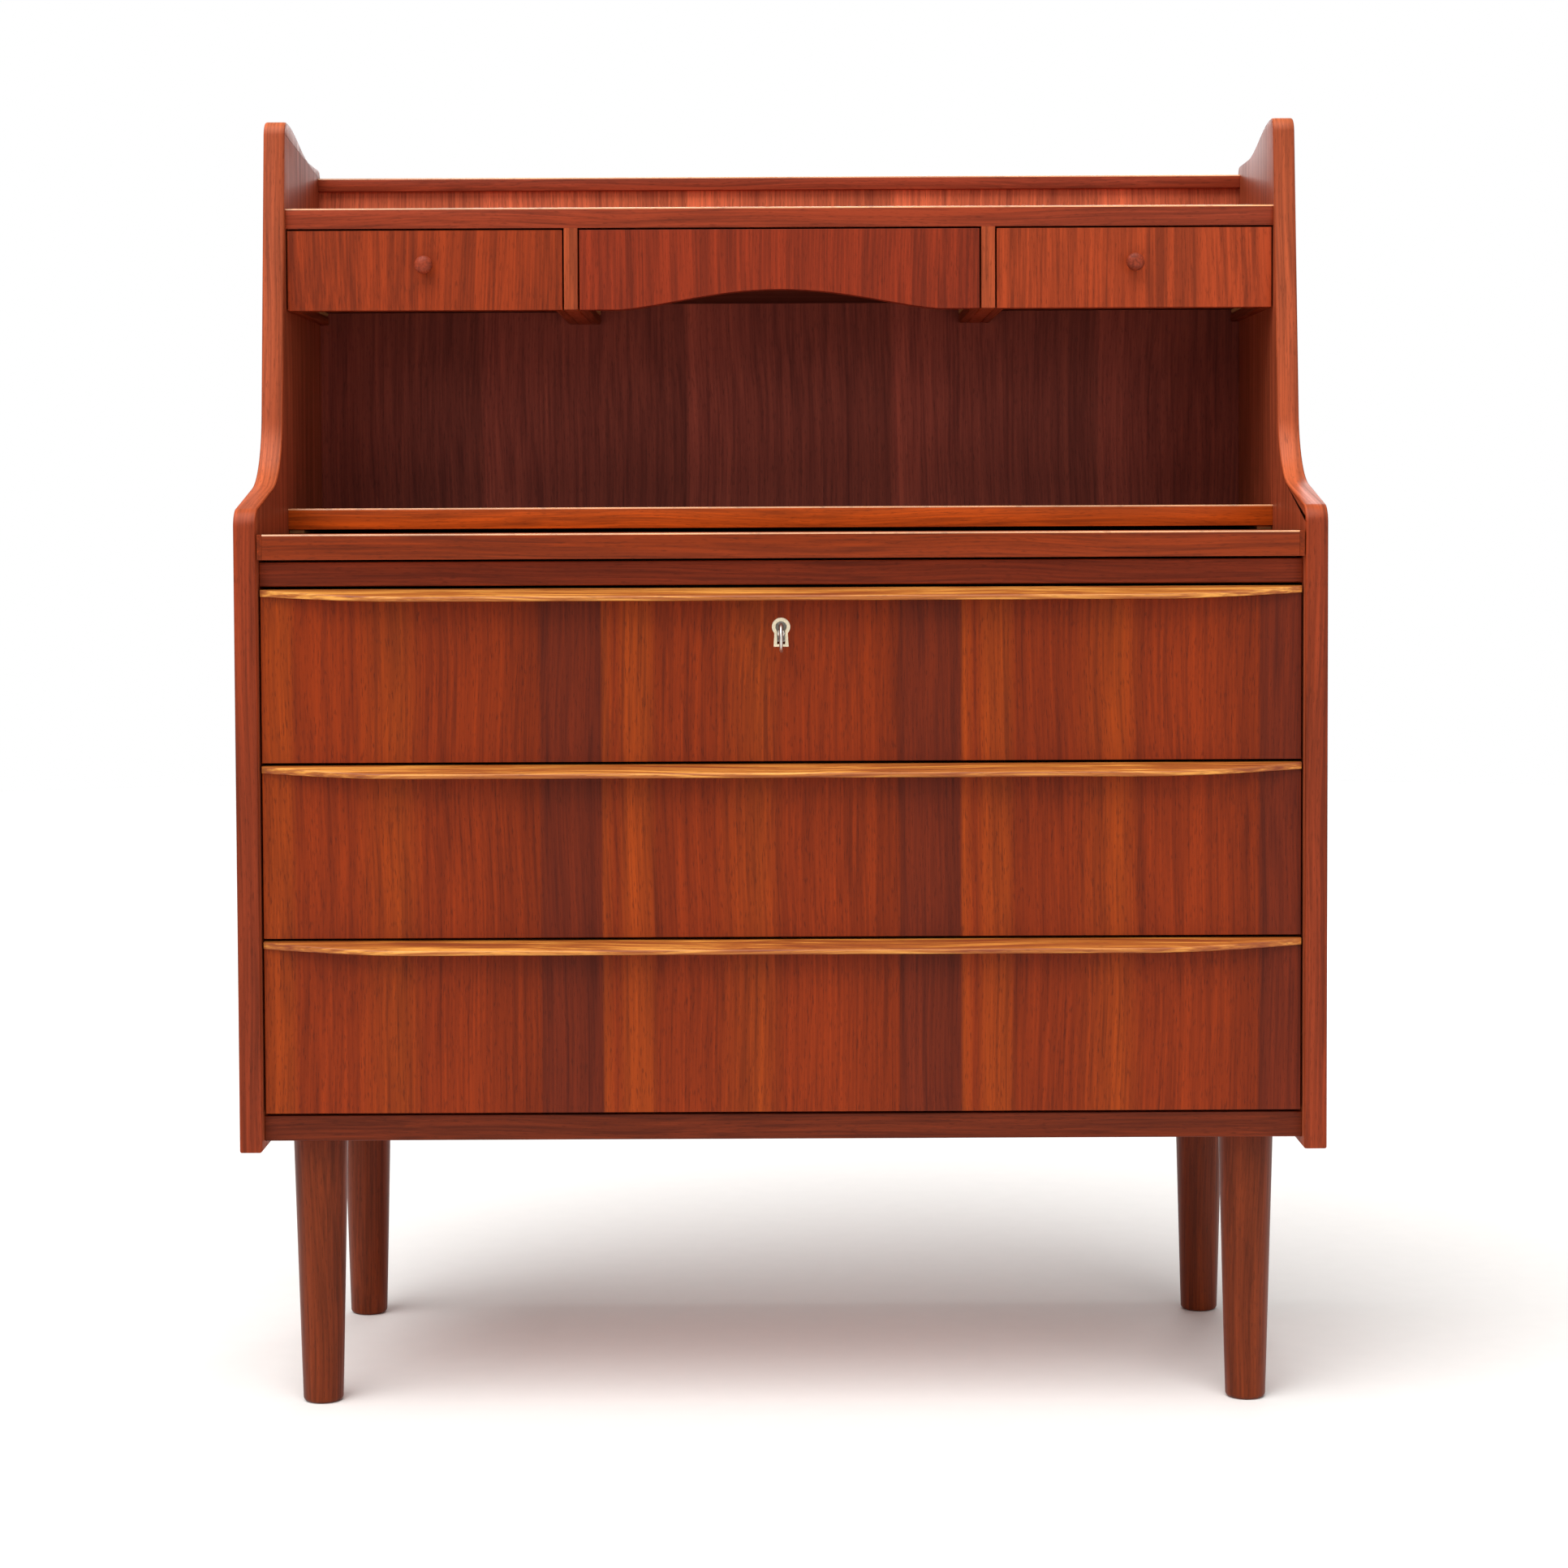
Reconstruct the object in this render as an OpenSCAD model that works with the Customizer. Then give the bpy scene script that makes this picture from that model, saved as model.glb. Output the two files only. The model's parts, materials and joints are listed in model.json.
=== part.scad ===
// Secretary desk with three long drawers, a pull-out writing slide and three small drawers.
// Frame: +Z up, +X to the right of a person facing the desk, front towards -Y.
// Origin: on the floor, in the middle of the desk's width and of its full depth.
// In the helper modules a depth is counted back from the gables' front edge.

/* [Carcass] */
// Width over both gables
body_w = 960; // [760:1:1200]
// Depth of the gables, front edge to back edge
body_d = 430; // [380:1:540]
// Thickness of a gable
gable_t = 20; // [18:0.5:25]
// How far the gables reach below the bottom panel
gable_drop = 8; // [0:1:20]
// Height of the legs, floor to bottom panel
leg_h = 245; // [180:1:300]
// Thickness of the bottom panel
bottom_t = 22.5; // [18:0.5:25]
// Set-back of the bottom panel behind the gables' front edge
bottom_setback = 14; // [4:1:25]
// Depth of the solid edging on panels and shelves
edging_d = 6; // [3:0.5:12]
// Thickness of the back panels
back_t = 6; // [4:0.5:10]
// Inset of the back panels from the gables' back edge
back_inset = 2; // [0:0.5:6]
// Width of the rebate in each gable that holds the back panels
rebate_w = 10; // [8:0.5:12]

/* [Gable outline] */
// Height of the sloping ledge at the front edge, above the writing slide
ledge_above_slide = 20.4; // [15:0.1:40]
// Slope of the ledge, in degrees
ledge_slope = 11.6; // [4:0.1:16]
// Lean of the upper front edge, in degrees from upright
lean = 6.5; // [2:0.1:9]
// Depth of the gable's crest behind the front edge
crest_setback = 197; // [160:1:240]
// Height of the crest above the top shelf
crest_above = 82; // [50:1:100]
// Drop of the top edge from the crest to the back
crest_drop = 22; // [8:1:35]
// Radius of the corner between front edge and ledge
ledge_r = 18; // [8:1:20]
// Radius of the hollow between ledge and upper edge
hollow_r = 76; // [40:1:80]
// Radius of the crest
crest_r = 16; // [8:1:18]
// Radius of the top back corner
rear_r = 9; // [4:1:12]

/* [Upper part] */
// Set-back of the shelves and small drawers behind the crest, taken off its depth
shelf_forward = 4; // [0:1:12]
// Thickness of the compartment shelf
shelf_t = 19.5; // [16:0.5:24]
// Gap between the writing slide and the compartment shelf
slide_headroom = 4; // [3:0.5:8]
// Clear height of the open compartment, up to the small drawers
niche_h = 184; // [150:1:260]
// Height of the row of small drawers
small_bay_h = 76; // [60:1:100]
// Thickness of the top shelf
top_t = 19; // [16:0.5:24]
// Height of the back top rail's underside above the top shelf
rail_above = 38; // [20:1:45]
// Height of the back top rail
back_rail_h = 13; // [10:1:20]
// Depth of the back top rail's front face ahead of the back panel
back_rail_proud = 7; // [4:1:12]
// Thickness of the dividers
divider_t = 13; // [10:0.5:18]
// Width of the middle bay between the dividers
middle_bay_w = 376; // [300:1:440]
// Depth of the housing that takes each divider's top
housing = 5; // [3:0.5:8]

/* [Writing slide] */
// Thickness of the writing slide
slide_t = 22.5; // [18:0.5:26]
// Gap between the front rail and the writing slide
slide_gap = 2; // [1:0.5:4]
// Depth of the solid edging along the slide's front
slide_edge_d = 8; // [5:0.5:15]
// Width of the solid edging along the slide's ends
slide_end_w = 4.5; // [3:0.5:8]
// Clearance between the slide and each gable
slide_side_gap = 0.7; // [0.5:0.1:2]
// Height of the front rail under the slide
rail_h = 21.5; // [18:0.5:35]
// Depth of the front rail, front to back
rail_d = 40; // [30:1:60]
// Set-back of the front rail behind the gables' front edge
rail_setback = 16; // [8:1:25]
// Length of the slide that stays under the shelf when it is pulled out
slide_keep = 26; // [15:1:60]
// Height of the stop blocks under the slide
stop_h = 15; // [10:1:18]

/* [Long drawers] */
// Height of a drawer front with its lip
front_h = 153; // [130:1:200]
// Thickness of a drawer front
front_t = 20; // [18:0.5:24]
// Gap above and below each drawer front
front_gap = 2.5; // [1.5:0.5:4]
// Gap between a drawer front and each gable
front_side_gap = 2; // [1:0.5:4]
// Set-back of the drawer fronts behind the gables' front edge
front_setback = 10; // [6:1:18]
// Thickness of the drawer sides and backs
side_t = 12; // [10:0.5:15]
// Clearance between a drawer side and the gable
side_gap = 3; // [2:0.5:5]
// Height of a drawer side
side_h = 125; // [100:1:128]
// Height of the drawer sides' lower edge above the front's lower edge
side_rise = 8; // [6:1:15]
// Thickness of the drawer bottoms
drawer_bottom_t = 4; // [3:0.5:6]
// Height of the bottom's groove above the sides' lower edge
bottom_rise = 12; // [8:1:20]
// Depth of the grooves that hold a drawer bottom
bottom_groove = 5; // [3:0.5:6]
// Free space behind a long drawer
drawer_rear_gap = 17; // [8:1:60]
// Height of a runner
runner_h = 14; // [10:1:20]
// Thickness of a runner
runner_t = 8; // [7:0.5:9]
// Height of a runner's middle above the drawer side's lower edge
runner_rise = 60; // [40:1:80]
// Clearance of a drawer's groove round its runner
runner_play = 0.4; // [0.3:0.1:1]

/* [Lip pulls] */
// Height of the lip at its ends
lip_end_h = 6; // [5:0.5:8]
// Height of the lip in its thick middle
lip_mid_h = 11; // [9:0.5:16]
// Reach of the lip ahead of the drawer front
lip_reach = 20; // [12:1:26]
// Length over which each end of the lip tapers
lip_taper = 135; // [60:1:180]
// Fall of the lip's upper face from the drawer front to the nose
lip_fall = 6; // [3:0.5:8]

/* [Small drawers] */
// Thickness of a small drawer front
small_front_t = 16; // [12:0.5:20]
// Gap round a small drawer front
small_gap = 1.5; // [1:0.1:3]
// Thickness of the small drawers' sides and backs
small_side_t = 8; // [6:0.5:10]
// Thickness of the small drawers' bottoms
small_bottom_t = 3; // [2:0.5:4]
// Height of the small drawers' runner strips
strip_h = 8; // [6:0.5:10]
// Width of the small drawers' runner strips
strip_w = 9; // [7:0.5:12]
// Rise of the arch in the middle drawer front
arch_rise = 18.4; // [8:0.1:24]
// Width of the arch in the middle drawer front
arch_w = 298; // [200:1:320]
// Diameter of the knobs
knob_dia = 17; // [12:0.1:24]
// Reach of the knobs ahead of the drawer front
knob_reach = 16; // [12:0.5:24]

/* [Lock and key] */
// Distance of the keyhole below the top of the drawer front
keyhole_drop = 34.5; // [30:0.5:45]
// Radius of the escutcheon's round end
escutcheon_r = 8.1; // [7:0.1:12]
// Rim width of the escutcheon
escutcheon_rim = 3.3; // [2:0.1:4]
// Length of the escutcheon below the round end's middle
escutcheon_tail = 17.6; // [14:0.1:22]
// Angle at which the key hangs slack in the lock, in degrees
key_droop = 15; // [0:1:15]
// Throw of the bolt
bolt_throw = 9; // [6:0.5:10]

/* [Legs] */
// Diameter of a leg at the top
leg_top_dia = 49; // [40:1:60]
// Diameter of a leg at the floor
leg_foot_dia = 36; // [28:1:44]
// Rounding of the foot
leg_foot_r = 4; // [2:0.5:6]
// Distance of the leg's middle from the gable's outer face
leg_from_side = 63; // [50:1:120]
// Depth of the front legs' middle behind the front edge
leg_front_d = 64; // [45:1:120]
// Distance of the rear legs' middle from the gables' back edge
leg_from_back = 36; // [32:1:90]
// Diameter of the leg studs
stud_dia = 10; // [8:1:12]

/* [Fixings] */
// Diameter of the dowels
dowel_dia = 8; // [6:1:8]
// Length of the dowels
dowel_len = 30; // [24:1:36]
// Depth of the dowel holes in the gables
dowel_in_gable = 12; // [10:1:14]
// Largest distance between the screws of the back panels
screw_pitch = 150; // [100:5:250]

/* [Hidden] */
$fn = 48;

TEAK = "#8a3c22";
TEAK_EDGE = "#a9552c";
BEECH = "#c99a66";
PLYWOOD = "#b98a5a";
BRASS = "#cdb27a";
STEEL = "#b9b9b4";

fit = 0.05;         // radial clearance of a dowel, stud, screw or pin in its hole
touch = 0.3;        // least gap between wood that slides past wood
past = 1;           // how far a cut runs past the face that it opens
inner_x = body_w / 2 - gable_t;
back_d = body_d - back_inset - back_t;
middle_x = middle_bay_w / 2;

// Heights, from the floor up
bottom_z = leg_h;
bay_z = bottom_z + bottom_t;
row_pitch = front_h + front_gap;
rail_z = bay_z + front_gap + 3 * row_pitch;
slide_z = rail_z + rail_h + slide_gap;
slide_top = slide_z + slide_t;
shelf_z = slide_top + slide_headroom;
niche_z = shelf_z + shelf_t;
small_z = niche_z + niche_h;
top_z = small_z + small_bay_h;
tray_z = top_z + top_t;
back_rail_z = tray_z + rail_above;
crest_z = tray_z + crest_above;
gable_z = bottom_z - gable_drop;
back_split = shelf_z + shelf_t / 2;
panel_lap = 0.5;    // share of the back top rail that the upper panel reaches into

// Depths
small_rear_gap = 12;
slide_rear_gap = 7;
upper_d = crest_setback - shelf_forward;
small_d = upper_d + 0.5;
box_d = front_setback + front_t;
box_rear = back_d - drawer_rear_gap;
small_rear = back_d - small_rear_gap;
slide_rear = back_d - slide_rear_gap;
slide_travel = slide_rear - upper_d - edging_d - slide_keep;
rear_rail_d = back_d - rail_d;

// Long drawer boxes
box_x = inner_x - side_gap;
panel_h = front_h - lip_end_h;
side_tongue = 8;
back_below_sides = 10;
base_play = 0.1;

// Lock
lock_d = front_setback + 8;
lock_w = 44;
lock_wall = 1.5;
lock_flange = 6;
lock_below_key = 13.5;
lock_screw_r = 0.9;
lock_screw_head = 2;
lock_screw_len = 11;
bolt_w = 12;
bolt_t = 5;
bolt_play = 0.3;
bolt_room = 12;     // depth of the bolt's mortise in the front rail
bolt_above_key = 11.5;
bolt_foot_h = 4;
key_z_local = front_h - keyhole_drop;
key_r = 2.1;
bow_r = 11;
bow_wire = 2;
bow_reach = 35;
pivot_d = front_setback + 14;
key_proud = bow_reach * cos(key_droop) + bow_r + bow_wire - pivot_d;
lip_proud = lip_reach - front_setback;
front_y = (max(key_proud, lip_proud) - body_d) / 2;

function row_z(row) = bay_z + front_gap + (row == "top" ? 2 : row == "middle" ? 1 : 0) * row_pitch;
key_z = row_z("top") + key_z_local;

// Bay of a small drawer: its two walls along X
function bay_x(bay) = bay == "left" ? [-inner_x, -middle_x - divider_t]
    : bay == "right" ? [middle_x + divider_t, inner_x] : [-middle_x, middle_x];

// Points of the arc that rounds the corner p between a and b
function unit(v) = v / norm(v);
function corner(a, p, b, r, steps) =
    let (u = unit(a - p), v = unit(b - p),
         half = acos(u * v) / 2,
         centre = p + unit(u + v) * r / sin(half),
         from = p + u * r / tan(half) - centre,
         turn = (u[0] * v[1] - u[1] * v[0] > 0 ? -1 : 1) * (180 - 2 * half))
    [for (i = [0 : steps])
        let (t = turn * i / steps)
        centre + [from[0] * cos(t) - from[1] * sin(t), from[0] * sin(t) + from[1] * cos(t)]];

// A board between two values each along X, depth and height
module board(x, d, z)
    translate([x[0], front_y + d[0], z[0]])
        cube([x[1] - x[0], d[1] - d[0], z[1] - z[0]]);

module both_sides() {
    children();
    mirror([1, 0, 0]) children();
}

// A cylinder along X, along depth or along Z
module rod_x(r, x, d, z)
    translate([x[0], front_y + d, z]) rotate([0, 90, 0]) cylinder(r = r, h = x[1] - x[0]);
module rod_d(r, x, d, z)
    translate([x, front_y + d[1], z]) rotate([90, 0, 0]) cylinder(r = r, h = d[1] - d[0]);
module rod_z(r, x, d, z)
    translate([x, front_y + d, z[0]]) cylinder(r = r, h = z[1] - z[0]);

// Countersunk screw, head up, its head's face at the origin; grow is the hole's clearance
module screw(r, head_r, len, grow = 0) {
    translate([0, 0, -len]) cylinder(r = r + grow, h = len + grow);
    translate([0, 0, -(head_r - r)])
        cylinder(r1 = r + grow, r2 = head_r + grow, h = head_r - r);
    if (grow > 0) cylinder(r = head_r + grow, h = 1);
}

// ---- Fixings shared by the pieces they join ----

function spread(a, b, pitch) =
    let (n = max(1, ceil((b - a) / pitch)))
    [for (i = [0 : n]) a + (b - a) * i / n];

// Depth and height of each dowel in a gable
dowels = concat(
    [for (d = [bottom_setback + 30, (bottom_setback + back_d) / 2, back_d - 30])
        [d, bottom_z + bottom_t / 2]],
    [for (d = [upper_d + 36, (upper_d + back_d) / 2 + 10, back_d - 30], z = [shelf_z + shelf_t / 2,
        top_z + top_t / 2]) [d, z]],
    [for (d = [rail_setback + rail_d / 2, back_d - rail_d / 2]) [d, rail_z + rail_h / 2]]);

module dowel_set(grow = 0)
    both_sides()
        for (p = dowels)
            rod_x(dowel_dia / 2 - fit + grow, [inner_x + dowel_in_gable - dowel_len - grow,
                inner_x + dowel_in_gable + grow], p[0], p[1]);

back_screw_r = 1.5;
back_screw_len = 18;
module back_screw_set(grow = 0) {
    lower = spread(bottom_z + 45, back_split - 30, screw_pitch);
    upper = spread(back_split + 35, back_rail_z - 30, screw_pitch);
    across = spread(-inner_x + 60, inner_x - 60, screw_pitch * 2);
    places = concat(
        [for (z = concat(lower, upper), s = [-1, 1]) [s * (inner_x + rebate_w / 2), z]],
        [for (x = across, z = [bottom_z + bottom_t / 2, back_split - 5.5, top_z + top_t / 2])
            [x, z]],
        [for (x = across) [x + 20, back_split + 5.5]]);
    for (p = places)
        translate([p[0], front_y + body_d - back_inset, p[1]]) rotate([-90, 0, 0])
            screw(back_screw_r, 3, back_screw_len, grow);
}

runner_screw_r = 1.6;
module runner_screw_set(grow = 0)
    both_sides()
        for (row = ["top", "middle", "bottom"], d = [box_d + 50, (box_d + back_d) / 2, back_d - 50])
            translate([inner_x - runner_t, front_y + d, runner_z(row)]) rotate([0, -90, 0])
                screw(runner_screw_r, 3.2, runner_t + 12, grow);

strike_w = 34;
strike_t = 1.2;
strike_d = [lock_d, lock_d + 12];
module strike_screw_set(grow = 0)
    for (s = [-1, 1])
        translate([s * (strike_w / 2 - 4.5), front_y + (strike_d[0] + strike_d[1]) / 2, rail_z])
            rotate([180, 0, 0]) screw(lock_screw_r, lock_screw_head, lock_screw_len - 1, grow);

lock_face_d = box_d;
lock_bottom = key_z - lock_below_key;
lock_top = row_z("top") + panel_h - 0.5;
module lock_screw_set(grow = 0)
    for (s = [-1, 1], z = [lock_bottom + lock_flange, lock_top - lock_flange])
        translate([s * (lock_w / 2 + lock_flange / 2), front_y + lock_face_d, z])
            rotate([-90, 0, 0]) screw(lock_screw_r, lock_screw_head, lock_screw_len, grow);

// ---- Carcass ----

ledge_z = slide_top + ledge_above_slide;
hollow_d = (crest_setback - (crest_z - ledge_z) * tan(lean)) / (1 - tan(ledge_slope) * tan(lean));
crest_end = crest_setback + crest_r * tan((90 - lean) / 2);
gable_top = crest_z - crest_drop;
fall_share = 0.7;   // share of the top edge, from the crest back, over which it falls
corner_steps = 12;
sweep_steps = 20;

module gable_outline() {
    front = [0, ledge_z];
    hollow = [hollow_d, ledge_z + hollow_d * tan(ledge_slope)];
    crest = [crest_setback, crest_z];
    back = [body_d, gable_top];
    fall_end = crest_end + (body_d - crest_end) * fall_share;
    polygon(concat(
        [[0, gable_z]],
        corner([0, gable_z], front, hollow, ledge_r, corner_steps),
        corner(front, hollow, crest, hollow_r, sweep_steps),
        corner(hollow, crest, [body_d, crest_z], crest_r, corner_steps),
        [for (i = [1 : sweep_steps])
            [crest_end + (fall_end - crest_end) * i / sweep_steps,
             gable_top + crest_drop * (1 + cos(180 * i / sweep_steps)) / 2]],
        corner([fall_end, gable_top], back, [body_d, gable_z], rear_r, corner_steps),
        [[body_d, gable_z]]));
}

// The right gable; the left one is its mirror image
module gable()
    difference() {
        translate([inner_x, front_y, 0]) rotate([90, 0, 90])
            linear_extrude(gable_t) gable_outline();
        board([inner_x - 1, inner_x + rebate_w], [back_d, body_d + 1],
            [gable_z - past, back_rail_z + back_rail_h * (panel_lap + 0.05)]);
        dowel_set(fit);
        back_screw_set(fit);
        runner_screw_set(fit);
    }

module gable_right() color(TEAK) gable();
module gable_left() color(TEAK) mirror([1, 0, 0]) gable();

insert_r = stud_dia / 2 + 3;
insert_h = 15;
stud_in_leg = 28;
module leg_places()
    both_sides()
        for (d = [leg_front_d, body_d - leg_from_back])
            translate([body_w / 2 - leg_from_side, front_y + d, 0]) children();

module bottom_panel() color(TEAK)
    difference() {
        board([-inner_x, inner_x], [bottom_setback + edging_d, back_d],
            [bottom_z, bottom_z + bottom_t]);
        dowel_set(fit);
        back_screw_set(fit);
        leg_places() translate([0, 0, bottom_z - 1]) cylinder(r = insert_r + fit, h = insert_h + 2);
    }

module bottom_edging() color(TEAK_EDGE)
    board([-inner_x, inner_x], [bottom_setback, bottom_setback + edging_d],
        [bottom_z, bottom_z + bottom_t]);

module compartment_shelf() color(TEAK)
    difference() {
        board([-inner_x, inner_x], [upper_d + edging_d, back_d], [shelf_z, niche_z]);
        dowel_set(fit);
        back_screw_set(fit);
    }

module compartment_edging() color(TEAK_EDGE)
    board([-inner_x, inner_x], [upper_d, upper_d + edging_d], [shelf_z, niche_z]);

divider_x = [middle_x, middle_x + divider_t];
module top_shelf() color(TEAK)
    difference() {
        board([-inner_x, inner_x], [upper_d + edging_d, back_d], [top_z, tray_z]);
        dowel_set(fit);
        back_screw_set(fit);
        both_sides()
            board([divider_x[0] - fit, divider_x[1] + fit], [upper_d + edging_d - 1, back_d + 1],
                [top_z - 1, top_z + housing + fit]);
    }

module top_shelf_edging() color(TEAK_EDGE)
    board([-inner_x, inner_x], [upper_d, upper_d + edging_d], [top_z, tray_z]);

module divider() {
    board(divider_x, [upper_d, back_d], [small_z, top_z]);
    board(divider_x, [upper_d + edging_d, back_d], [top_z - 1, top_z + housing]);
}
module divider_right() color(TEAK_EDGE) divider();
module divider_left() color(TEAK_EDGE) mirror([1, 0, 0]) divider();

back_x = inner_x + rebate_w - 0.5;
back_panel_d = [back_d, body_d - back_inset];
module back_panel(z)
    difference() {
        board([-back_x, back_x], back_panel_d, z);
        back_screw_set(fit);
    }
module back_panel_lower() color(TEAK) back_panel([bottom_z, back_split]);
module back_panel_upper() color(TEAK)
    back_panel([back_split, back_rail_z + back_rail_h * panel_lap]);

// The rail caps the upper panel, whose top edge stands in its rebate
module back_top_rail() color(TEAK_EDGE)
    difference() {
        board([-inner_x, inner_x], [back_d - back_rail_proud, body_d - back_inset],
            [back_rail_z, back_rail_z + back_rail_h]);
        board([-back_x, back_x], [back_d, body_d],
            [back_rail_z - past, back_rail_z + back_rail_h * panel_lap]);
    }

module slide_rail_front() color(TEAK)
    difference() {
        board([-inner_x, inner_x], [rail_setback, rail_setback + rail_d], [rail_z, rail_z + rail_h]);
        dowel_set(fit);
        board([-strike_w / 2 - fit, strike_w / 2 + fit], [strike_d[0] - fit, strike_d[1] + fit],
            [rail_z - 1, rail_z + strike_t]);
        board([-bolt_w / 2 - 1, bolt_w / 2 + 1], bolt_hole_d, [rail_z - past, rail_z + bolt_room]);
        strike_screw_set(fit);
    }

// Rear rail, two bearers and two kicker strips
bearer_w = 20;
kicker_w = 14;
module slide_guides() color(BEECH) {
    difference() {
        board([-inner_x, inner_x], [rear_rail_d, back_d], [rail_z, rail_z + rail_h]);
        dowel_set(fit);
    }
    both_sides() {
        board([inner_x - bearer_w, inner_x], [rail_setback + rail_d, rear_rail_d - fit],
            [rail_z + 1.5, slide_z - touch]);
        board([inner_x - kicker_w, inner_x], [upper_d + edging_d, back_d],
            [slide_top + touch, shelf_z]);
    }
}

function runner_z(row) = row_z(row) + side_rise + runner_rise;
module drawer_runners() color(BEECH)
    difference() {
        both_sides()
            for (row = ["top", "middle", "bottom"])
                board([inner_x - runner_t, inner_x], [box_d + 4, back_d - 4],
                    [runner_z(row) - runner_h / 2, runner_z(row) + runner_h / 2]);
        runner_screw_set(fit);
    }

module small_drawer_runners() color(BEECH)
    for (bay = ["left", "centre", "right"])
        for (x = [[bay_x(bay)[0], bay_x(bay)[0] + strip_w],
                  [bay_x(bay)[1] - strip_w, bay_x(bay)[1]]])
            board(x, [small_d + small_front_t + 2, back_d - 2], [small_z, small_z + strip_h]);

module carcass_dowels() color(BEECH) dowel_set();

module carcass_screws() color(BRASS) {
    back_screw_set();
    runner_screw_set();
    strike_screw_set();
}

bolt_d = [pivot_d - 3, pivot_d - 3 + bolt_t];
bolt_hole_d = [bolt_d[0] - 0.8, bolt_d[1] + 0.8];
module lock_strike() color(BRASS)
    difference() {
        board([-strike_w / 2, strike_w / 2], strike_d, [rail_z, rail_z + strike_t]);
        board([-bolt_w / 2 - 0.7, bolt_w / 2 + 0.7], [bolt_d[0] - 0.5, bolt_d[1] + 0.5],
            [rail_z - 1, rail_z + strike_t + 1]);
        strike_screw_set(fit);
    }

// ---- Legs ----

module leg() color(TEAK_EDGE) {
    r0 = leg_foot_dia / 2;
    r1 = leg_top_dia / 2;
    hole = stud_in_leg + 2;
    foot = corner([0, 0], [r0, 0], [r1, leg_h], leg_foot_r, 6);
    rotate_extrude($fn = 96)
        polygon(concat([[0, 0]], foot, [[r1, leg_h], [stud_dia / 2, leg_h],
            [stud_dia / 2, leg_h - hole], [0, leg_h - hole]]));
}
module leg_at(side, d)
    translate([side * (body_w / 2 - leg_from_side), front_y + d, 0]) leg();
module leg_front_left() leg_at(-1, leg_front_d);
module leg_front_right() leg_at(1, leg_front_d);
module leg_rear_left() leg_at(-1, body_d - leg_from_back);
module leg_rear_right() leg_at(1, body_d - leg_from_back);

// A threaded stud in each leg and the insert that it turns into
module leg_fixings() color(STEEL)
    leg_places() {
        translate([0, 0, leg_h - stud_in_leg])
            cylinder(r = stud_dia / 2 - fit, h = stud_in_leg + insert_h - 1);
        translate([0, 0, leg_h])
            difference() {
                cylinder(r = insert_r, h = insert_h);
                translate([0, 0, -1]) cylinder(r = stud_dia / 2, h = insert_h + 2);
            }
    }

// ---- Writing slide ----

slide_x = inner_x - slide_side_gap;
module slide_panel() color(TEAK)
    board([-slide_x + slide_end_w, slide_x - slide_end_w], [slide_edge_d, slide_rear],
        [slide_z, slide_top]);
module slide_front_edging() color(TEAK_EDGE)
    board([-slide_x + slide_end_w, slide_x - slide_end_w], [0, slide_edge_d],
        [slide_z, slide_top]);
module slide_end_edgings() color(TEAK_EDGE)
    both_sides() board([slide_x - slide_end_w, slide_x], [0, slide_rear], [slide_z, slide_top]);

stop_d = rail_setback + rail_d + slide_travel + 0.5;
module slide_stops() color(BEECH)
    both_sides()
        board([inner_x * 0.4, inner_x * 0.4 + 40], [stop_d, stop_d + 16],
            [slide_z - stop_h, slide_z]);

// ---- Long drawers ----

front_x = inner_x - front_side_gap;
base_z = side_rise + bottom_rise;
base_x = box_x - side_t + bottom_groove;

module keyhole(r, tail, top_w, foot_w) {
    circle(r);
    polygon([[-top_w / 2, 0], [top_w / 2, 0], [foot_w / 2, -tail], [-foot_w / 2, -tail]]);
}
slot_w = 7;
waist_share = 1.4;  // widths of the escutcheon's tail, as shares of its round end's radius
foot_share = 1.65;
module keyhole_outer(grow = 0)
    keyhole(escutcheon_r + grow, escutcheon_tail + grow, escutcheon_r * waist_share + 2 * grow,
        escutcheon_r * foot_share + 2 * grow);
module keyhole_inner()
    keyhole(escutcheon_r - escutcheon_rim, escutcheon_tail - escutcheon_rim * 0.7, slot_w, slot_w);
module along_depth(d, z)
    translate([0, front_y + d[1], z]) rotate([90, 0, 0])
        linear_extrude(d[1] - d[0]) children();

escutcheon_proud = 0.6;
escutcheon_t = 2.6;

module drawer_front(row) color(TEAK)
    difference() {
        z = row_z(row);
        board([-front_x, front_x], [front_setback, box_d], [z, z + panel_h]);
        both_sides()
            board([box_x - side_t - fit, box_x + fit], [box_d - side_tongue - fit, box_d + 1],
                [z + side_rise - fit, z + side_rise + side_h + fit]);
        board([-base_x - base_play, base_x + base_play], [box_d - bottom_groove, box_d + 1],
            [z + base_z - base_play, z + base_z + drawer_bottom_t + base_play]);
        if (row == "top") {
            board([-lock_w / 2 - fit, lock_w / 2 + fit], [lock_d, box_d + 1],
                [lock_bottom - fit, lock_top + 1]);
            board([-lock_w / 2 - lock_flange - fit, lock_w / 2 + lock_flange + fit],
                [box_d - lock_wall, box_d + 1], [lock_bottom - fit, lock_top + 1]);
            along_depth([front_setback - 1, lock_d + 1], key_z) keyhole_inner();
            along_depth([front_setback - 1, front_setback + escutcheon_t - escutcheon_proud],
                key_z) keyhole_outer(fit);
            lock_screw_set(fit);
        }
    }

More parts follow.
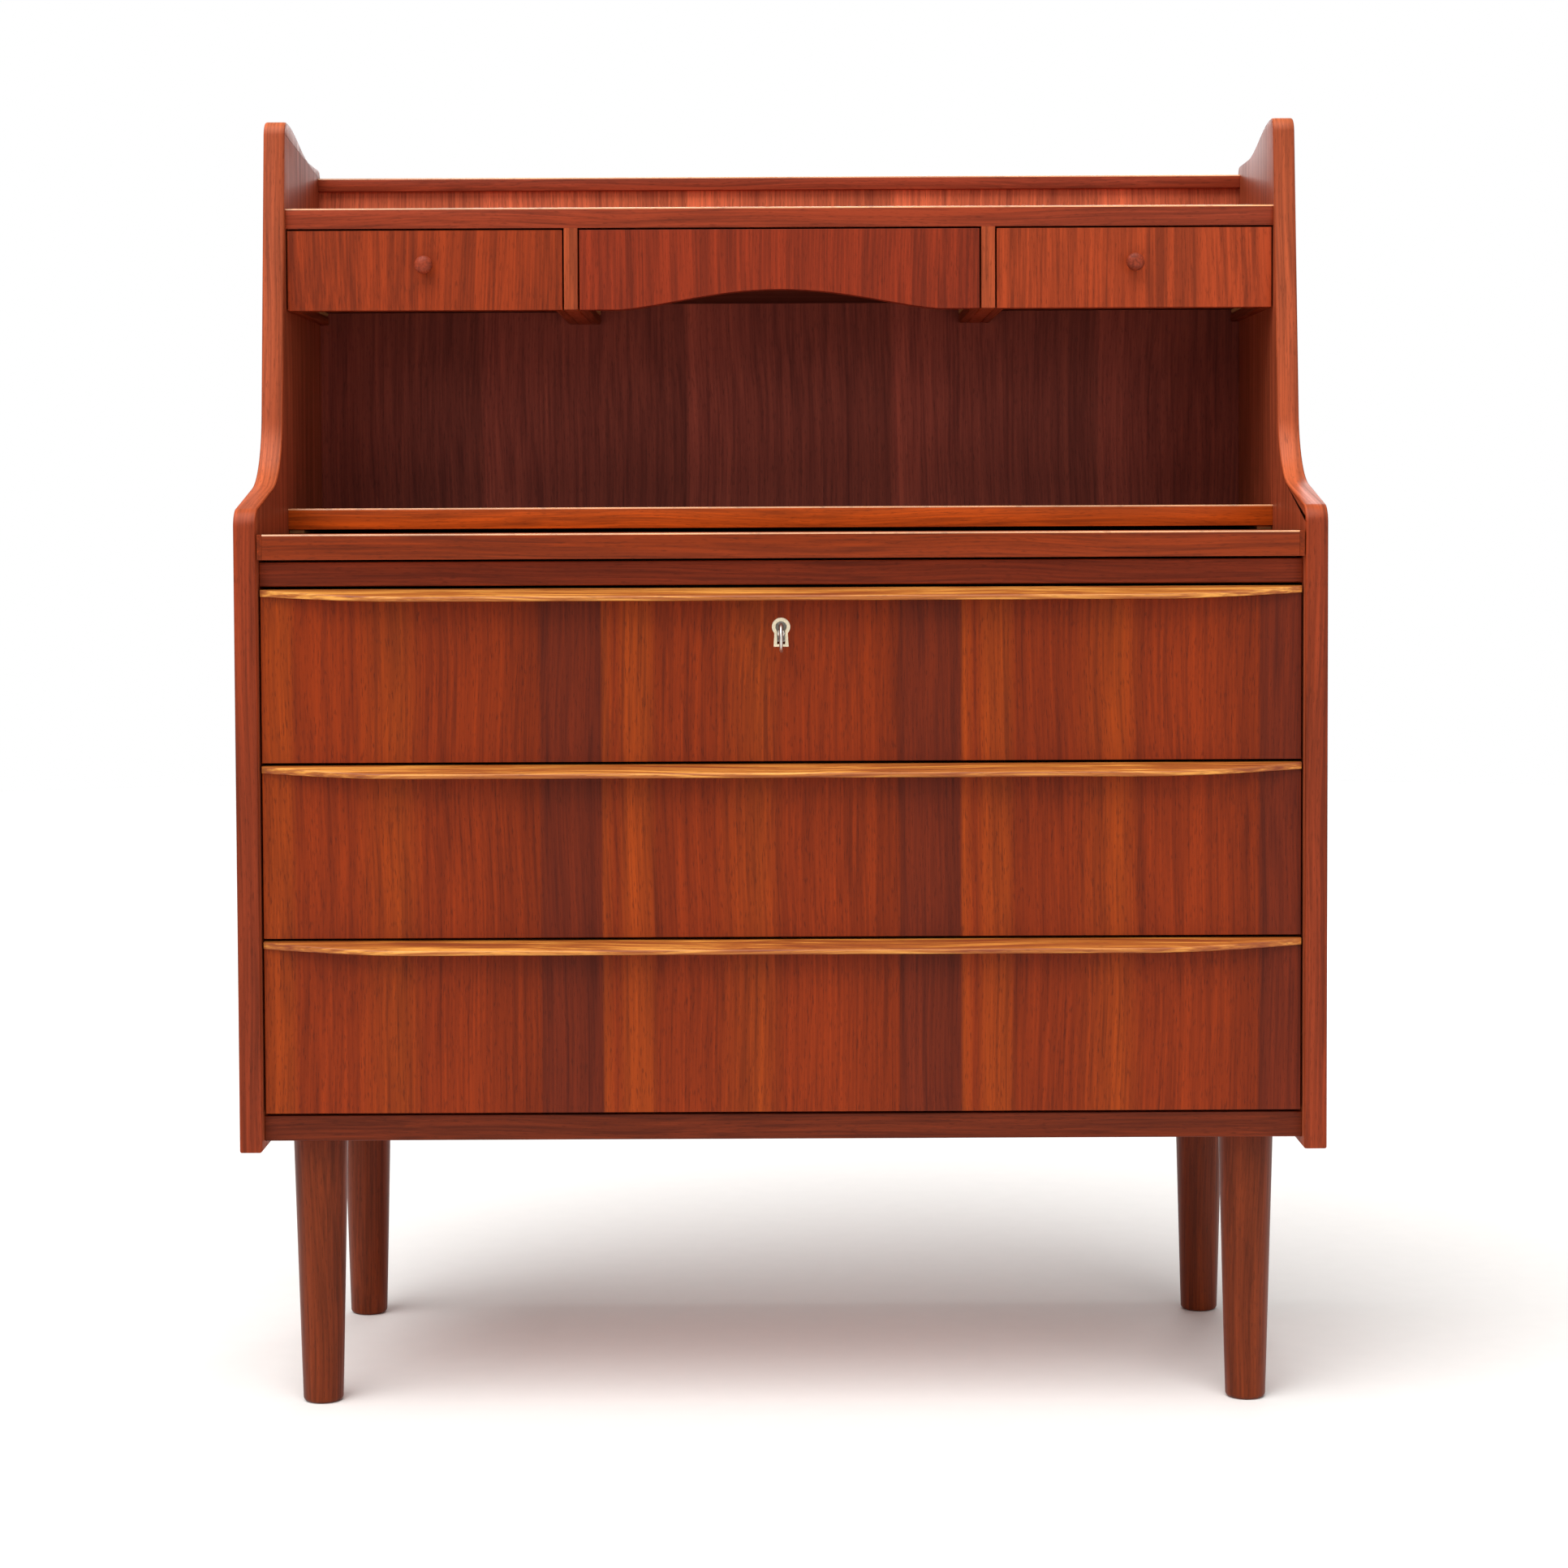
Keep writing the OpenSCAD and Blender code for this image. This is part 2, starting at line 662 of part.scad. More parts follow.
// Section of the lip at a share s of its full reach: [ahead of the front, above its top]
function lip_section(s) =
    let (reach = 1.5 + (lip_reach - 1.5) * s, fall = lip_fall * s,
         low = -lip_end_h - (lip_mid_h - lip_end_h) * s, nose = 0.4 + 1.2 * s,
         under = reach - 2 * nose)
    [[-front_t, 0], [-front_t, -lip_end_h], [0, -lip_end_h],
     [under * 0.4, -lip_end_h - 0.3 * s], [under * 0.75, (low - lip_end_h) / 2 - 0.4 * s],
     [under, low], [reach - nose * 0.5, low + nose * 0.3], [reach, low + nose],
     [reach, -fall - nose * 0.8], [reach - nose * 0.8, -fall], [reach * 0.5, -fall * 0.42], [0, 0]];
// Share of the full reach at x: easing in from each end over the taper
lip_least = 0.03;
function lip_share(x) =
    let (t = max(0, min(1, (front_x - abs(x)) / lip_taper)))
    lip_least + (1 - lip_least) * (1 - pow(1 - t, 1.7));
lip_steps = 10;
lip_stations = concat(
    [for (i = [0 : lip_steps]) -front_x + lip_taper * i / lip_steps],
    [for (i = [0 : lip_steps]) front_x - lip_taper * (1 - i / lip_steps)]);

module lip_solid(z) {
    rings = [for (x = lip_stations) [for (p = lip_section(lip_share(x)))
        [x, front_y + front_setback - p[0], z + front_h + p[1]]]];
    n = len(rings[0]);
    m = len(rings);
    polyhedron(
        points = [for (ring = rings) each ring],
        faces = concat(
            [[for (k = [0 : n - 1]) k]],
            [for (i = [0 : m - 2], k = [0 : n - 1])
                [i * n + k, (i + 1) * n + k, (i + 1) * n + (k + 1) % n]],
            [for (i = [0 : m - 2], k = [0 : n - 1])
                [i * n + k, (i + 1) * n + (k + 1) % n, i * n + (k + 1) % n]],
            [[for (k = [n - 1 : -1 : 0]) (m - 1) * n + k]]));
}

module drawer_lip(row) color(TEAK_EDGE)
    difference() {
        lip_solid(row_z(row));
        if (row == "top")
            board([-bolt_w / 2 - 0.5, bolt_w / 2 + 0.5], [bolt_d[0] - 0.5, bolt_d[1] + 0.5],
                [row_z(row) + panel_h - 1, row_z(row) + front_h + 1]);
    }

module drawer_sides(row) color(BEECH) {
    z = row_z(row);
    both_sides()
        difference() {
            board([box_x - side_t, box_x], [box_d - side_tongue, box_rear],
                [z + side_rise, z + side_rise + side_h]);
            board([inner_x - runner_t - 1, box_x + 1], [box_d, box_rear + 1],
                [runner_z(row) - runner_h / 2 - runner_play,
                 runner_z(row) + runner_h / 2 + runner_play]);
            board([0, base_x + base_play], [box_d - side_tongue - 1, box_rear + 1],
                [z + base_z - base_play, z + base_z + drawer_bottom_t + base_play]);
        }
}

module drawer_back(row) color(BEECH) {
    z = row_z(row);
    board([-box_x + side_t, box_x - side_t], [box_rear - side_t, box_rear],
        [z + base_z + drawer_bottom_t, z + side_rise + side_h - back_below_sides]);
}

module drawer_base(row) color(PLYWOOD) {
    z = row_z(row);
    board([-base_x, base_x], [box_d - bottom_groove + base_play, box_rear],
        [z + base_z, z + base_z + drawer_bottom_t]);
}

// ---- Lock, key and bolt, in the top drawer ----

module lock_escutcheon() color(BRASS)
    difference() {
        along_depth([front_setback - escutcheon_proud,
            front_setback - escutcheon_proud + escutcheon_t], key_z) keyhole_outer();
        along_depth([front_setback - 2, front_setback + 4], key_z) keyhole_inner();
    }

module lock_case() color(STEEL)
    difference() {
        union() {
            board([-lock_w / 2, lock_w / 2], [lock_d, box_d], [lock_bottom, lock_top]);
            board([-lock_w / 2 - lock_flange, lock_w / 2 + lock_flange],
                [box_d - lock_wall + fit, box_d], [lock_bottom, lock_top]);
        }
        board([-lock_w / 2 + lock_wall, lock_w / 2 - lock_wall],
            [lock_d + lock_wall, box_d - lock_wall],
            [lock_bottom + lock_wall, lock_top - lock_wall]);
        board([-bolt_w / 2 - bolt_play, bolt_w / 2 + bolt_play],
            [bolt_d[0] - bolt_play, bolt_d[1] + bolt_play], [lock_top - 5, lock_top + 1]);
        along_depth([lock_d - 1, lock_d + lock_wall + 1], key_z) keyhole_inner();
        lock_screw_set(fit);
    }

module lock_screws() color(BRASS) lock_screw_set();

bolt_foot = key_z + bolt_above_key;
module lock_bolt() color(BRASS) {
    board([-bolt_w / 2, bolt_w / 2], bolt_d, [bolt_foot, row_z("top") + front_h - 0.5]);
    board([-bolt_w, bolt_w], bolt_d, [bolt_foot, bolt_foot + bolt_foot_h]);
}

// The key hangs slack, so its shaft runs down and forward from the lock
bit_r = 7;
bit_w = 1.8;
bit_from = [-2.4, 1.2];
collar_h = 3;
collar_before_bow = 5;
module key() color(STEEL)
    translate([0, front_y + pivot_d, key_z]) rotate([key_droop, 0, 0]) {
        rotate([90, 0, 0]) translate([0, 0, -bit_from[1]])
            cylinder(r = key_r, h = bit_from[1] + bow_reach - bow_r);
        translate([-bit_w / 2, bit_from[0], -bit_r]) cube([bit_w, bit_from[1] - bit_from[0], bit_r]);
        translate([0, -bow_reach, 0]) rotate([0, 90, 0])
            rotate_extrude() translate([bow_r, 0]) circle(bow_wire);
        rotate([90, 0, 0]) translate([0, 0, bow_reach - bow_r - collar_before_bow])
            cylinder(r = key_r + 1, h = collar_h);
    }

// ---- Small drawers ----

small_front_h = small_bay_h - small_gap - 0.3;
small_box_z = strip_h + touch;
box_below_front = 6;
small_box_h = small_front_h - small_box_z - box_below_front;
small_groove = 3;
small_tongue = 6;
function small_base_z(bay) = small_z + (bay == "centre" ? arch_rise + 1 : small_box_z + 3);
knob_z = small_z + small_front_h * 0.56;
function knob_x(side) = let (b = bay_x("right")) side * (b[0] + b[1]) / 2;
tenon_r = 3.5;
tenon_len = 11;

// The arch: a long crown that eases into the straight lower edge at each end
module arch_cut(z) {
    steps = 24;
    translate([0, front_y + small_d + small_front_t + 1, z]) rotate([90, 0, 0])
        linear_extrude(small_front_t + 2)
            polygon(concat([[-arch_w / 2, -1]],
                [for (i = [0 : steps])
                    let (t = -1 + 2 * i / steps)
                    [t * arch_w / 2, arch_rise * pow(cos(90 * t), 1.35)]],
                [[arch_w / 2, -1]]));
}

module small_front(bay) color(TEAK)
    difference() {
        x = bay_x(bay);
        z = small_z;
        board([x[0] + small_gap, x[1] - small_gap], [small_d, small_d + small_front_t],
            [z, z + small_front_h]);
        for (wall = [x[0] + small_gap, x[1] - small_gap - small_side_t])
            board([wall - fit, wall + small_side_t + fit],
                [small_d + small_front_t - small_tongue, small_d + small_front_t + past],
                [z + small_box_z - fit, z + small_box_z + small_box_h + fit]);
        board([x[0] + small_gap + small_side_t - small_groove, x[1] - small_gap - small_side_t
            + small_groove], [small_d + small_front_t - small_groove - base_play,
            small_d + small_front_t + 1],
            [small_base_z(bay) - base_play, small_base_z(bay) + small_bottom_t + base_play]);
        if (bay == "centre")
            arch_cut(z);
        else
            rod_d(tenon_r, knob_x(bay == "left" ? -1 : 1),
                [small_d - past, small_d + tenon_len + past], knob_z);
    }

// Two sides and the back
module small_box(bay) color(BEECH) {
    x = bay_x(bay);
    z = [small_z + small_box_z, small_z + small_box_z + small_box_h];
    base = small_base_z(bay);
    groove = [base - base_play, base + small_bottom_t + base_play];
    difference() {
        for (wall = [x[0] + small_gap, x[1] - small_gap - small_side_t])
            board([wall, wall + small_side_t],
                [small_d + small_front_t - small_tongue + fit, small_rear], z);
        board([x[0] + small_gap + small_side_t - small_groove - base_play,
            x[1] - small_gap - small_side_t + small_groove + base_play],
            [small_d, small_rear + 1], groove);
    }
    board([x[0] + small_gap + small_side_t + fit, x[1] - small_gap - small_side_t - fit],
        [small_rear - small_side_t, small_rear], [base + small_bottom_t, z[1] - 4]);
}

module small_base(bay) color(PLYWOOD) {
    x = bay_x(bay);
    inset = small_gap + small_side_t - small_groove + base_play;
    board([x[0] + inset, x[1] - inset], [small_d + small_front_t - small_groove, small_rear],
        [small_base_z(bay), small_base_z(bay) + small_bottom_t]);
}

neck_share = 0.55;
neck_h = 4;
dome_share = 0.72;

// Turned knob with a neck, a rounded head and a tenon in the front
module knob(side) color(TEAK_EDGE)
    translate([knob_x(side), front_y + small_d, knob_z]) rotate([90, 0, 0]) {
        r = knob_dia / 2;
        neck = r * neck_share;
        dome = knob_reach * dome_share;
        rotate_extrude()
            polygon(concat(
                [[0, -tenon_len], [tenon_r - fit, -tenon_len], [tenon_r - fit, 0], [neck, 0],
                 [neck, neck_h]],
                [for (a = [-60 : 15 : 0]) [neck + (r - neck) * cos(a), dome + neck_h * sin(a)]],
                [for (a = [15 : 15 : 90]) [r * cos(a), dome + (knob_reach - dome) * sin(a)]]));
    }
module knob_left() knob(-1);
module knob_right() knob(1);

// ---- Which pieces are drawn ----

gable_left();
gable_right();
bottom_panel();
bottom_edging();
compartment_shelf();
compartment_edging();
top_shelf();
top_shelf_edging();
back_panel_lower();
back_panel_upper();
back_top_rail();
divider_left();
divider_right();
slide_rail_front();
slide_guides();
drawer_runners();
small_drawer_runners();
carcass_dowels();
carcass_screws();
lock_strike();
leg_front_left();
leg_front_right();
leg_rear_left();
leg_rear_right();
leg_fixings();
slide_panel();
slide_front_edging();
slide_end_edgings();
slide_stops();
lock_escutcheon();
lock_case();
lock_screws();
lock_bolt();
key();
knob_left();
knob_right();
drawer_front("top");  // drawer_top_front
drawer_front("middle");  // drawer_middle_front
drawer_front("bottom");  // drawer_bottom_front
drawer_lip("top");  // drawer_top_lip
drawer_lip("middle");  // drawer_middle_lip
drawer_lip("bottom");  // drawer_bottom_lip
drawer_sides("top");  // drawer_top_sides
drawer_sides("middle");  // drawer_middle_sides
drawer_sides("bottom");  // drawer_bottom_sides
drawer_back("top");  // drawer_top_back
drawer_back("middle");  // drawer_middle_back
drawer_back("bottom");  // drawer_bottom_back
drawer_base("top");  // drawer_top_base
drawer_base("middle");  // drawer_middle_base
drawer_base("bottom");  // drawer_bottom_base
small_front("left");  // small_drawer_left_front
small_front("centre");  // small_drawer_centre_front
small_front("right");  // small_drawer_right_front
small_box("left");  // small_drawer_left_box
small_box("centre");  // small_drawer_centre_box
small_box("right");  // small_drawer_right_box
small_base("left");  // small_drawer_left_base
small_base("centre");  // small_drawer_centre_base
small_base("right");  // small_drawer_right_base
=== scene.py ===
"""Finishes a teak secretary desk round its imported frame: eased boards, turned legs, shaped lips."""

import json
import math

import bmesh
import bpy
from mathutils import Matrix, Vector

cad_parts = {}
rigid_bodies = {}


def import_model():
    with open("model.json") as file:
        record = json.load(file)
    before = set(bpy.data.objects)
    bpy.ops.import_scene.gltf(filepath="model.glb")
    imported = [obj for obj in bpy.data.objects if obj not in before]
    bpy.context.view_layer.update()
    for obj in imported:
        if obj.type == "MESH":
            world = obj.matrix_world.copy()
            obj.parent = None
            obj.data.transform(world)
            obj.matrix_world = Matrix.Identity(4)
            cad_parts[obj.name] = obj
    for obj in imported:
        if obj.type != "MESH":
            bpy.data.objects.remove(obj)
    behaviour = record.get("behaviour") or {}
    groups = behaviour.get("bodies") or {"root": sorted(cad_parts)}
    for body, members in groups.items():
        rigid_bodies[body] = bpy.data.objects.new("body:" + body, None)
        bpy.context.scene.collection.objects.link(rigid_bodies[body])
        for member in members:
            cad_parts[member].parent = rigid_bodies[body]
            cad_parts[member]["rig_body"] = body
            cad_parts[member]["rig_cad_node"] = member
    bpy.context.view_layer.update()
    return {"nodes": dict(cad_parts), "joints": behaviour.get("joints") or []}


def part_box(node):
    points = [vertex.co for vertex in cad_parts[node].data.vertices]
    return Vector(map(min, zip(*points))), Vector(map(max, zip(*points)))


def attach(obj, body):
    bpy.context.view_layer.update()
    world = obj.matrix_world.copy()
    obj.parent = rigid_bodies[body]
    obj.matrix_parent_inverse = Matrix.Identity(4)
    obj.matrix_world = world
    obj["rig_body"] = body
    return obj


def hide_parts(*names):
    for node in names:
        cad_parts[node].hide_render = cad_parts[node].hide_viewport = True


bl_info = {
    "name": "Secretary Desk",
    "version": (1, 0, 0),
    "blender": (4, 5, 0),
    "location": "View3D > Sidebar > Desk",
    "description": "Finishes a teak secretary desk round its packed frame",
    "category": "Object",
}

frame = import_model()
NODES = frame["nodes"]
MM = 0.001
ROWS = ("top", "middle", "bottom")
BAYS = ("left", "centre", "right")
SIDES = ("left", "right")


def linear(colour):
    """An sRGB hex colour as linear red, green, blue and alpha."""
    parts = [int(colour[i : i + 2], 16) / 255 for i in (1, 3, 5)]
    return tuple(
        c / 12.92 if c <= 0.04045 else ((c + 0.055) / 1.055) ** 2.4 for c in parts
    ) + (1.0,)


# ---- Settings ----


def length(title, note, value):
    """A length property in metres."""
    return bpy.props.FloatProperty(
        name=title, description=note, default=value, min=0.0, unit="LENGTH", precision=4
    )


def tone(title, note, value):
    """A colour property whose default is an sRGB hex value."""
    return bpy.props.FloatVectorProperty(
        name=title, description=note, default=linear(value), size=4, min=0.0, max=1.0, subtype="COLOR"
    )


class DeskSizes(bpy.types.PropertyGroup):
    """Sizes of the desk's finishing details."""

    edging_arris: length("Edging arris", "Width of the worn top arris of edgings", 1.5 * MM)
    arris: length("Arris", "Width of the eased edge on boards and edgings", 0.9 * MM)
    gable_arris: length("Gable arris", "Width of the eased edge round a gable", 2.0 * MM)
    fine_arris: length("Fine arris", "Width of the eased edge on metal and thin wood", 0.4 * MM)
    leaf_width: length("Leaf width", "Width of one veneer leaf on the long drawers", 317 * MM)
    screw_slot: length("Screw slot", "Width of the slot in a screw head", 0.6 * MM)
    floor_radius: length("Floor radius", "Radius of the studio floor", 7.0)


class DeskColours(bpy.types.PropertyGroup):
    """Colours of the desk's finishes."""

    front_light: tone("Front, light", "Lightest stripe of the drawer veneer", "#8b3508")
    front_mid: tone("Front, middle", "Main colour of the drawer veneer", "#812b07")
    front_dark: tone("Front, dark", "Darkest stripe of the drawer veneer", "#65210b")
    small_left: tone("Small front, left", "Veneer of the left small drawer", "#8c3312")
    small_centre: tone("Small front, centre", "Veneer of the arched drawer", "#842d14")
    # The right small front is set paler than the left partly as painted light, for the light that falls
    # brighter on the right
    small_right: tone("Small front, right", "Veneer of the right small drawer", "#973a19")
    veneer: tone("Gable veneer", "Veneer of gables, shelves and panels", "#9f4b2e")
    gable_edge: tone("Gable edge", "Edge band of the gables", "#813116")
    top_edging: tone("Top edging", "Front edging of the top shelf", "#86331a")
    shelf_edging: tone("Compartment edging", "Front edging of the compartment shelf", "#b34a10")
    slide_edging: tone("Slide edging", "Edgings of the writing slide", "#7b2c0a")
    rail: tone("Front rail", "Rail under the writing slide", "#823013")
    bottom_edging: tone("Bottom edging", "Front edging of the bottom panel", "#64240c")
    divider: tone("Dividers", "Dividers between the small drawers", "#9d4524")
    back_rail: tone("Back rail", "Rail along the top of the back", "#903a22")
    knob: tone("Knobs", "Turned knobs", "#8a3822")
    lip_light: tone("Lips, light", "Light grain of the lip pulls", "#e8a04a")
    lip_mid: tone("Lips, middle", "Main colour of the lip pulls", "#ae6328")
    lip_dark: tone("Lips, dark", "Dark grain of the lip pulls", "#88401f")
    leg: tone("Legs", "Main colour of the turned legs", "#6c2b0f")
    stain: tone("Stained back", "Back panels, stained behind the compartment", "#8c3e2f")
    beech: tone("Beech", "Drawer sides, runners and guides", "#c0905c")
    # The pale arris colour is partly real wear and partly a painted highlight along the top arrises
    worn_and_highlight: tone("Worn arrises", "Front arrises rubbed pale by hands", "#dd9a68")
    plywood: tone("Birch plywood", "Bottoms of the long drawers", "#c09a6c")
    # Stained dark, and darker still as painted shade for the shadow behind the arch
    stained_shaded_ply: tone("Stained plywood", "Bottoms of the small drawers", "#4a2216")
    brass: tone("Brass", "Escutcheon, strike, bolt and screws", "#f8ecd0")
    nickel: tone("Nickel", "Key and lock case", "#dcd8d0")
    floor: tone("Floor", "Studio floor", "#f2f0ed")


def sizes():
    """The scene's desk sizes."""
    return bpy.context.scene.desk_sizes


def colours():
    """The scene's desk colours."""
    return bpy.context.scene.desk_colours


# ---- Materials ----


def add(tree, kind, inputs=None, stops=None, **settings):
    """Adds a shader node; inputs are values or output sockets by input name or number."""
    made = tree.nodes.new("ShaderNode" + kind)
    for key, value in settings.items():
        setattr(made, key, value)
    for key, value in (inputs or {}).items():
        if isinstance(value, bpy.types.NodeSocket):
            tree.links.new(value, made.inputs[key])
        else:
            made.inputs[key].default_value = value
    if stops:
        elements = made.color_ramp.elements
        while len(elements) < len(stops):
            elements.new(1.0)
        for element, (place, colour) in zip(elements, stops):
            element.position = place
            element.color = colour
    return made


def blank_material(name):
    """A new material, its node tree and its shader."""
    made = bpy.data.materials.new(name)
    made.use_nodes = True
    tree = made.node_tree
    return made, tree, tree.nodes["Principled BSDF"]


def shade(colour, factor):
    """A colour made lighter or darker."""
    return tuple(min(1.0, c * factor) for c in colour[:3]) + (1.0,)


def grain_scale(grain, squeeze):
    """Mapping scale that draws a pattern out along the grain."""
    return tuple(squeeze if axis in grain else 1.0 for axis in "XYZ")


def wood(name, tones, grain, seed=0.0, polish=0.42, pores=0.4, stripes=0.13, leaf=None, glint=0.15):
    """Straight-grained wood whose grain runs along those axes; tones go from dark to light.

    Polish is its mean roughness and glint its specular level. A leaf is the width of one sheet of
    veneer, where one of them starts and its colours from left to right.
    """
    made, tree, shader = blank_material(name)
    where = add(tree, "TexCoord").outputs["Object"]
    # The grain wanders by a few millimetres over a hand's width
    sway = add(tree, "TexNoise", {"Vector": where, "Scale": 3.4, "Detail": 1.0})
    wander = add(
        tree,
        "VectorMath",
        {0: sway.outputs["Color"], 1: (0.022, 0.022, 0.022), 2: where},
        operation="MULTIPLY_ADD",
    )
    place = (seed, seed * 1.7, seed * 0.6)
    along, short = (
        add(
            tree,
            "Mapping",
            {
                "Vector": wander.outputs["Vector"],
                "Location": place,
                "Scale": grain_scale(grain, squeeze),
            },
        ).outputs["Vector"]
        for squeeze in (0.018, 0.11)
    )
    # Growth bands 60 mm wide, streaks of 8 mm and fibres of 2 mm
    bands = add(tree, "TexNoise", {"Vector": along, "Scale": 16.0, "Detail": 2.0})
    streaks = add(
        tree, "TexNoise", {"Vector": along, "Scale": 125.0, "Detail": 3.0, "Roughness": 0.65}
    )
    fibres = add(tree, "TexNoise", {"Vector": along, "Scale": 480.0, "Detail": 2.0})
    figure = None
    shares = ((bands, stripes), (streaks, 0.45), (fibres, 0.35))
    rest = 0.5 - 0.5 * sum(share for _, share in shares)
    for source, share in shares:
        figure = add(
            tree,
            "Math",
            {0: source.outputs["Fac"], 1: share, 2: figure or rest},
            operation="MULTIPLY_ADD",
        ).outputs[0]
    dark, mid, light = tones
    if leaf:
        # Veneer leaves side by side, each one coloured alike from its left edge to its right
        width, start, run = leaf
        across = add(tree, "SeparateXYZ", {0: where}).outputs["X"]
        turn = add(
            tree,
            "Math",
            {0: across, 1: 1 / width, 2: 8 - start / width},
            operation="MULTIPLY_ADD",
        )
        share = add(tree, "Math", {0: turn.outputs[0]}, operation="FRACT")
        leaves = add(tree, "ValToRGB", {0: share.outputs[0]}, stops=run)
        grain_light = add(
            tree,
            "ValToRGB",
            {0: figure},
            stops=[(0.38, (0.62, 0.6, 0.66, 1)), (0.5, (0.97, 0.97, 0.97, 1)), (0.62, (1.3, 1.32, 1.22, 1))],
        )
        body = add(tree, "Mix", {0: 1.0}, data_type="RGBA", blend_type="MULTIPLY")
        # The mix node keeps its colour sockets at 6 and 7
        for socket, source in ((6, leaves), (7, grain_light)):
            tree.links.new(source.outputs["Color"], body.inputs[socket])
        colour = body.outputs[2]
    else:
        run = [(0.4, dark), (0.5, mid), (0.6, light)]
        colour = add(tree, "ValToRGB", {0: figure}, stops=run).outputs["Color"]
    # Open pores: dark dashes, drawn a millimetre wide so that they show
    dashes = add(tree, "TexNoise", {"Vector": short, "Scale": 1000.0, "Detail": 1.0})
    pore = add(
        tree,
        "MapRange",
        {"Value": dashes.outputs["Fac"], "From Min": 0.58, "From Max": 0.72, "To Min": 0.0, "To Max": pores},
    )
    stained = add(tree, "Mix", {0: pore.outputs[0]}, data_type="RGBA", blend_type="MIX")
    tree.links.new(colour, stained.inputs[6])
    stained.inputs[7].default_value = shade(dark, 0.45)
    tree.links.new(stained.outputs[2], shader.inputs["Base Color"])
    rough = add(
        tree,
        "MapRange",
        {
            "Value": figure,
            "From Min": 0.4,
            "From Max": 0.6,
            "To Min": polish + 0.05,
            "To Max": polish - 0.05,
        },
    )
    tree.links.new(rough.outputs[0], shader.inputs["Roughness"])
    bump = add(tree, "Bump", {"Height": fibres.outputs["Fac"], "Strength": 0.35, "Distance": 0.00025})
    tree.links.new(bump.outputs["Normal"], shader.inputs["Normal"])
    shader.inputs["Specular IOR Level"].default_value = glint
    return made


def metal(name, colour, rough, scratches=220.0, tarnish=0.25):
    """Polished metal with fine handling scratches and a breath of tarnish."""
    made, tree, shader = blank_material(name)
    where = add(tree, "TexCoord").outputs["Object"]
    cloud = add(tree, "TexNoise", {"Vector": where, "Scale": scratches, "Detail": 3.0})
    dull = add(
        tree,
        "ValToRGB",
        {0: cloud.outputs["Fac"]},
        stops=[(0.35, shade(colour, 1 - tarnish)), (0.6, colour)],
    )
    tree.links.new(dull.outputs["Color"], shader.inputs["Base Color"])
    fine = add(tree, "TexNoise", {"Vector": where, "Scale": 2400.0, "Detail": 2.0})
    spread = add(
        tree,
        "MapRange",
        {
            "Value": fine.outputs["Fac"],
            "From Min": 0.3,
            "From Max": 0.7,
            "To Min": rough - 0.06,
            "To Max": rough + 0.08,
        },
    )
    tree.links.new(spread.outputs[0], shader.inputs["Roughness"])
    bump = add(tree, "Bump", {"Height": fine.outputs["Fac"], "Strength": 0.2, "Distance": 0.00005})
    tree.links.new(bump.outputs["Normal"], shader.inputs["Normal"])
    shader.inputs["Metallic"].default_value = 1.0
    return made


def floor_paper(name):
    """Matt studio paper, with the faint mottle of its pulp."""
    made, tree, shader = blank_material(name)
    where = add(tree, "TexCoord").outputs["Object"]
    pulp = add(tree, "TexNoise", {"Vector": where, "Scale": 40.0, "Detail": 4.0})
    mottle = add(
        tree,
        "ValToRGB",
        {0: pulp.outputs["Fac"]},
        stops=[(0.3, shade(colours().floor, 0.985)), (0.7, colours().floor)],
    )
    tree.links.new(mottle.outputs["Color"], shader.inputs["Base Color"])
    shader.inputs["Roughness"].default_value = 0.9
    shader.inputs["Specular IOR Level"].default_value = 0.1
    return made


def teak(name, colour, grain, seed, **extra):
    """Oiled solid teak or sliced teak veneer: warm and even, with narrow streaks along the grain."""
    run = (shade(colour, 0.66), colour, shade(colour, 1.38))
    return wood(name, run, grain, seed=seed, **extra)


def worn_highlit_arris(name):
    """Teak at an arris, rubbed paler and shinier than the faces beside it; the paler colour is also a
    painted highlight.
    """
    return teak(name, colours().worn_and_highlight, "XYZ", 5.5, polish=0.26, glint=1.0)


def lip_teak(name):
    """Solid teak worn golden by hands, with a satin shine."""
    c = colours()
    run = (c.lip_dark, c.lip_mid, c.lip_light)
    return wood(name, run, "X", seed=3.8, polish=0.34, glint=0.3, pores=0.35)


def front_veneer(name):
    """Slip-matched veneer of the long drawers: upright leaves, all cut from one flitch."""
    c = colours()
    run = (
        (0.0, shade(c.front_light, 1.1)),
        (0.03, shade(c.front_mid, 0.95)),
        (0.06, shade(c.front_light, 1.12)),
        (0.12, c.front_light),
        (0.145, shade(c.front_mid, 0.85)),
        (0.2, c.front_mid),
        (0.3, shade(c.front_mid, 0.96)),
        (0.43, shade(c.front_light, 1.02)),
        (0.5, c.front_mid),
        (0.66, shade(c.front_mid, 1.04)),
        (0.78, shade(c.front_mid, 0.84)),
        (0.815, shade(c.front_mid, 0.78)),
        (0.825, shade(c.front_dark, 0.84)),
        (0.85, c.front_dark),
        (0.99, shade(c.front_dark, 0.96)),
        (0.995, c.front_light),
    )
    # A leaf starts 156 mm left of the keyhole
    leaf = (sizes().leaf_width, -156 * MM, run)
    tones = (c.front_dark, c.front_mid, c.front_light)
    return wood(name, tones, "Z", seed=0.31, leaf=leaf, pores=0.5, stripes=0.13)


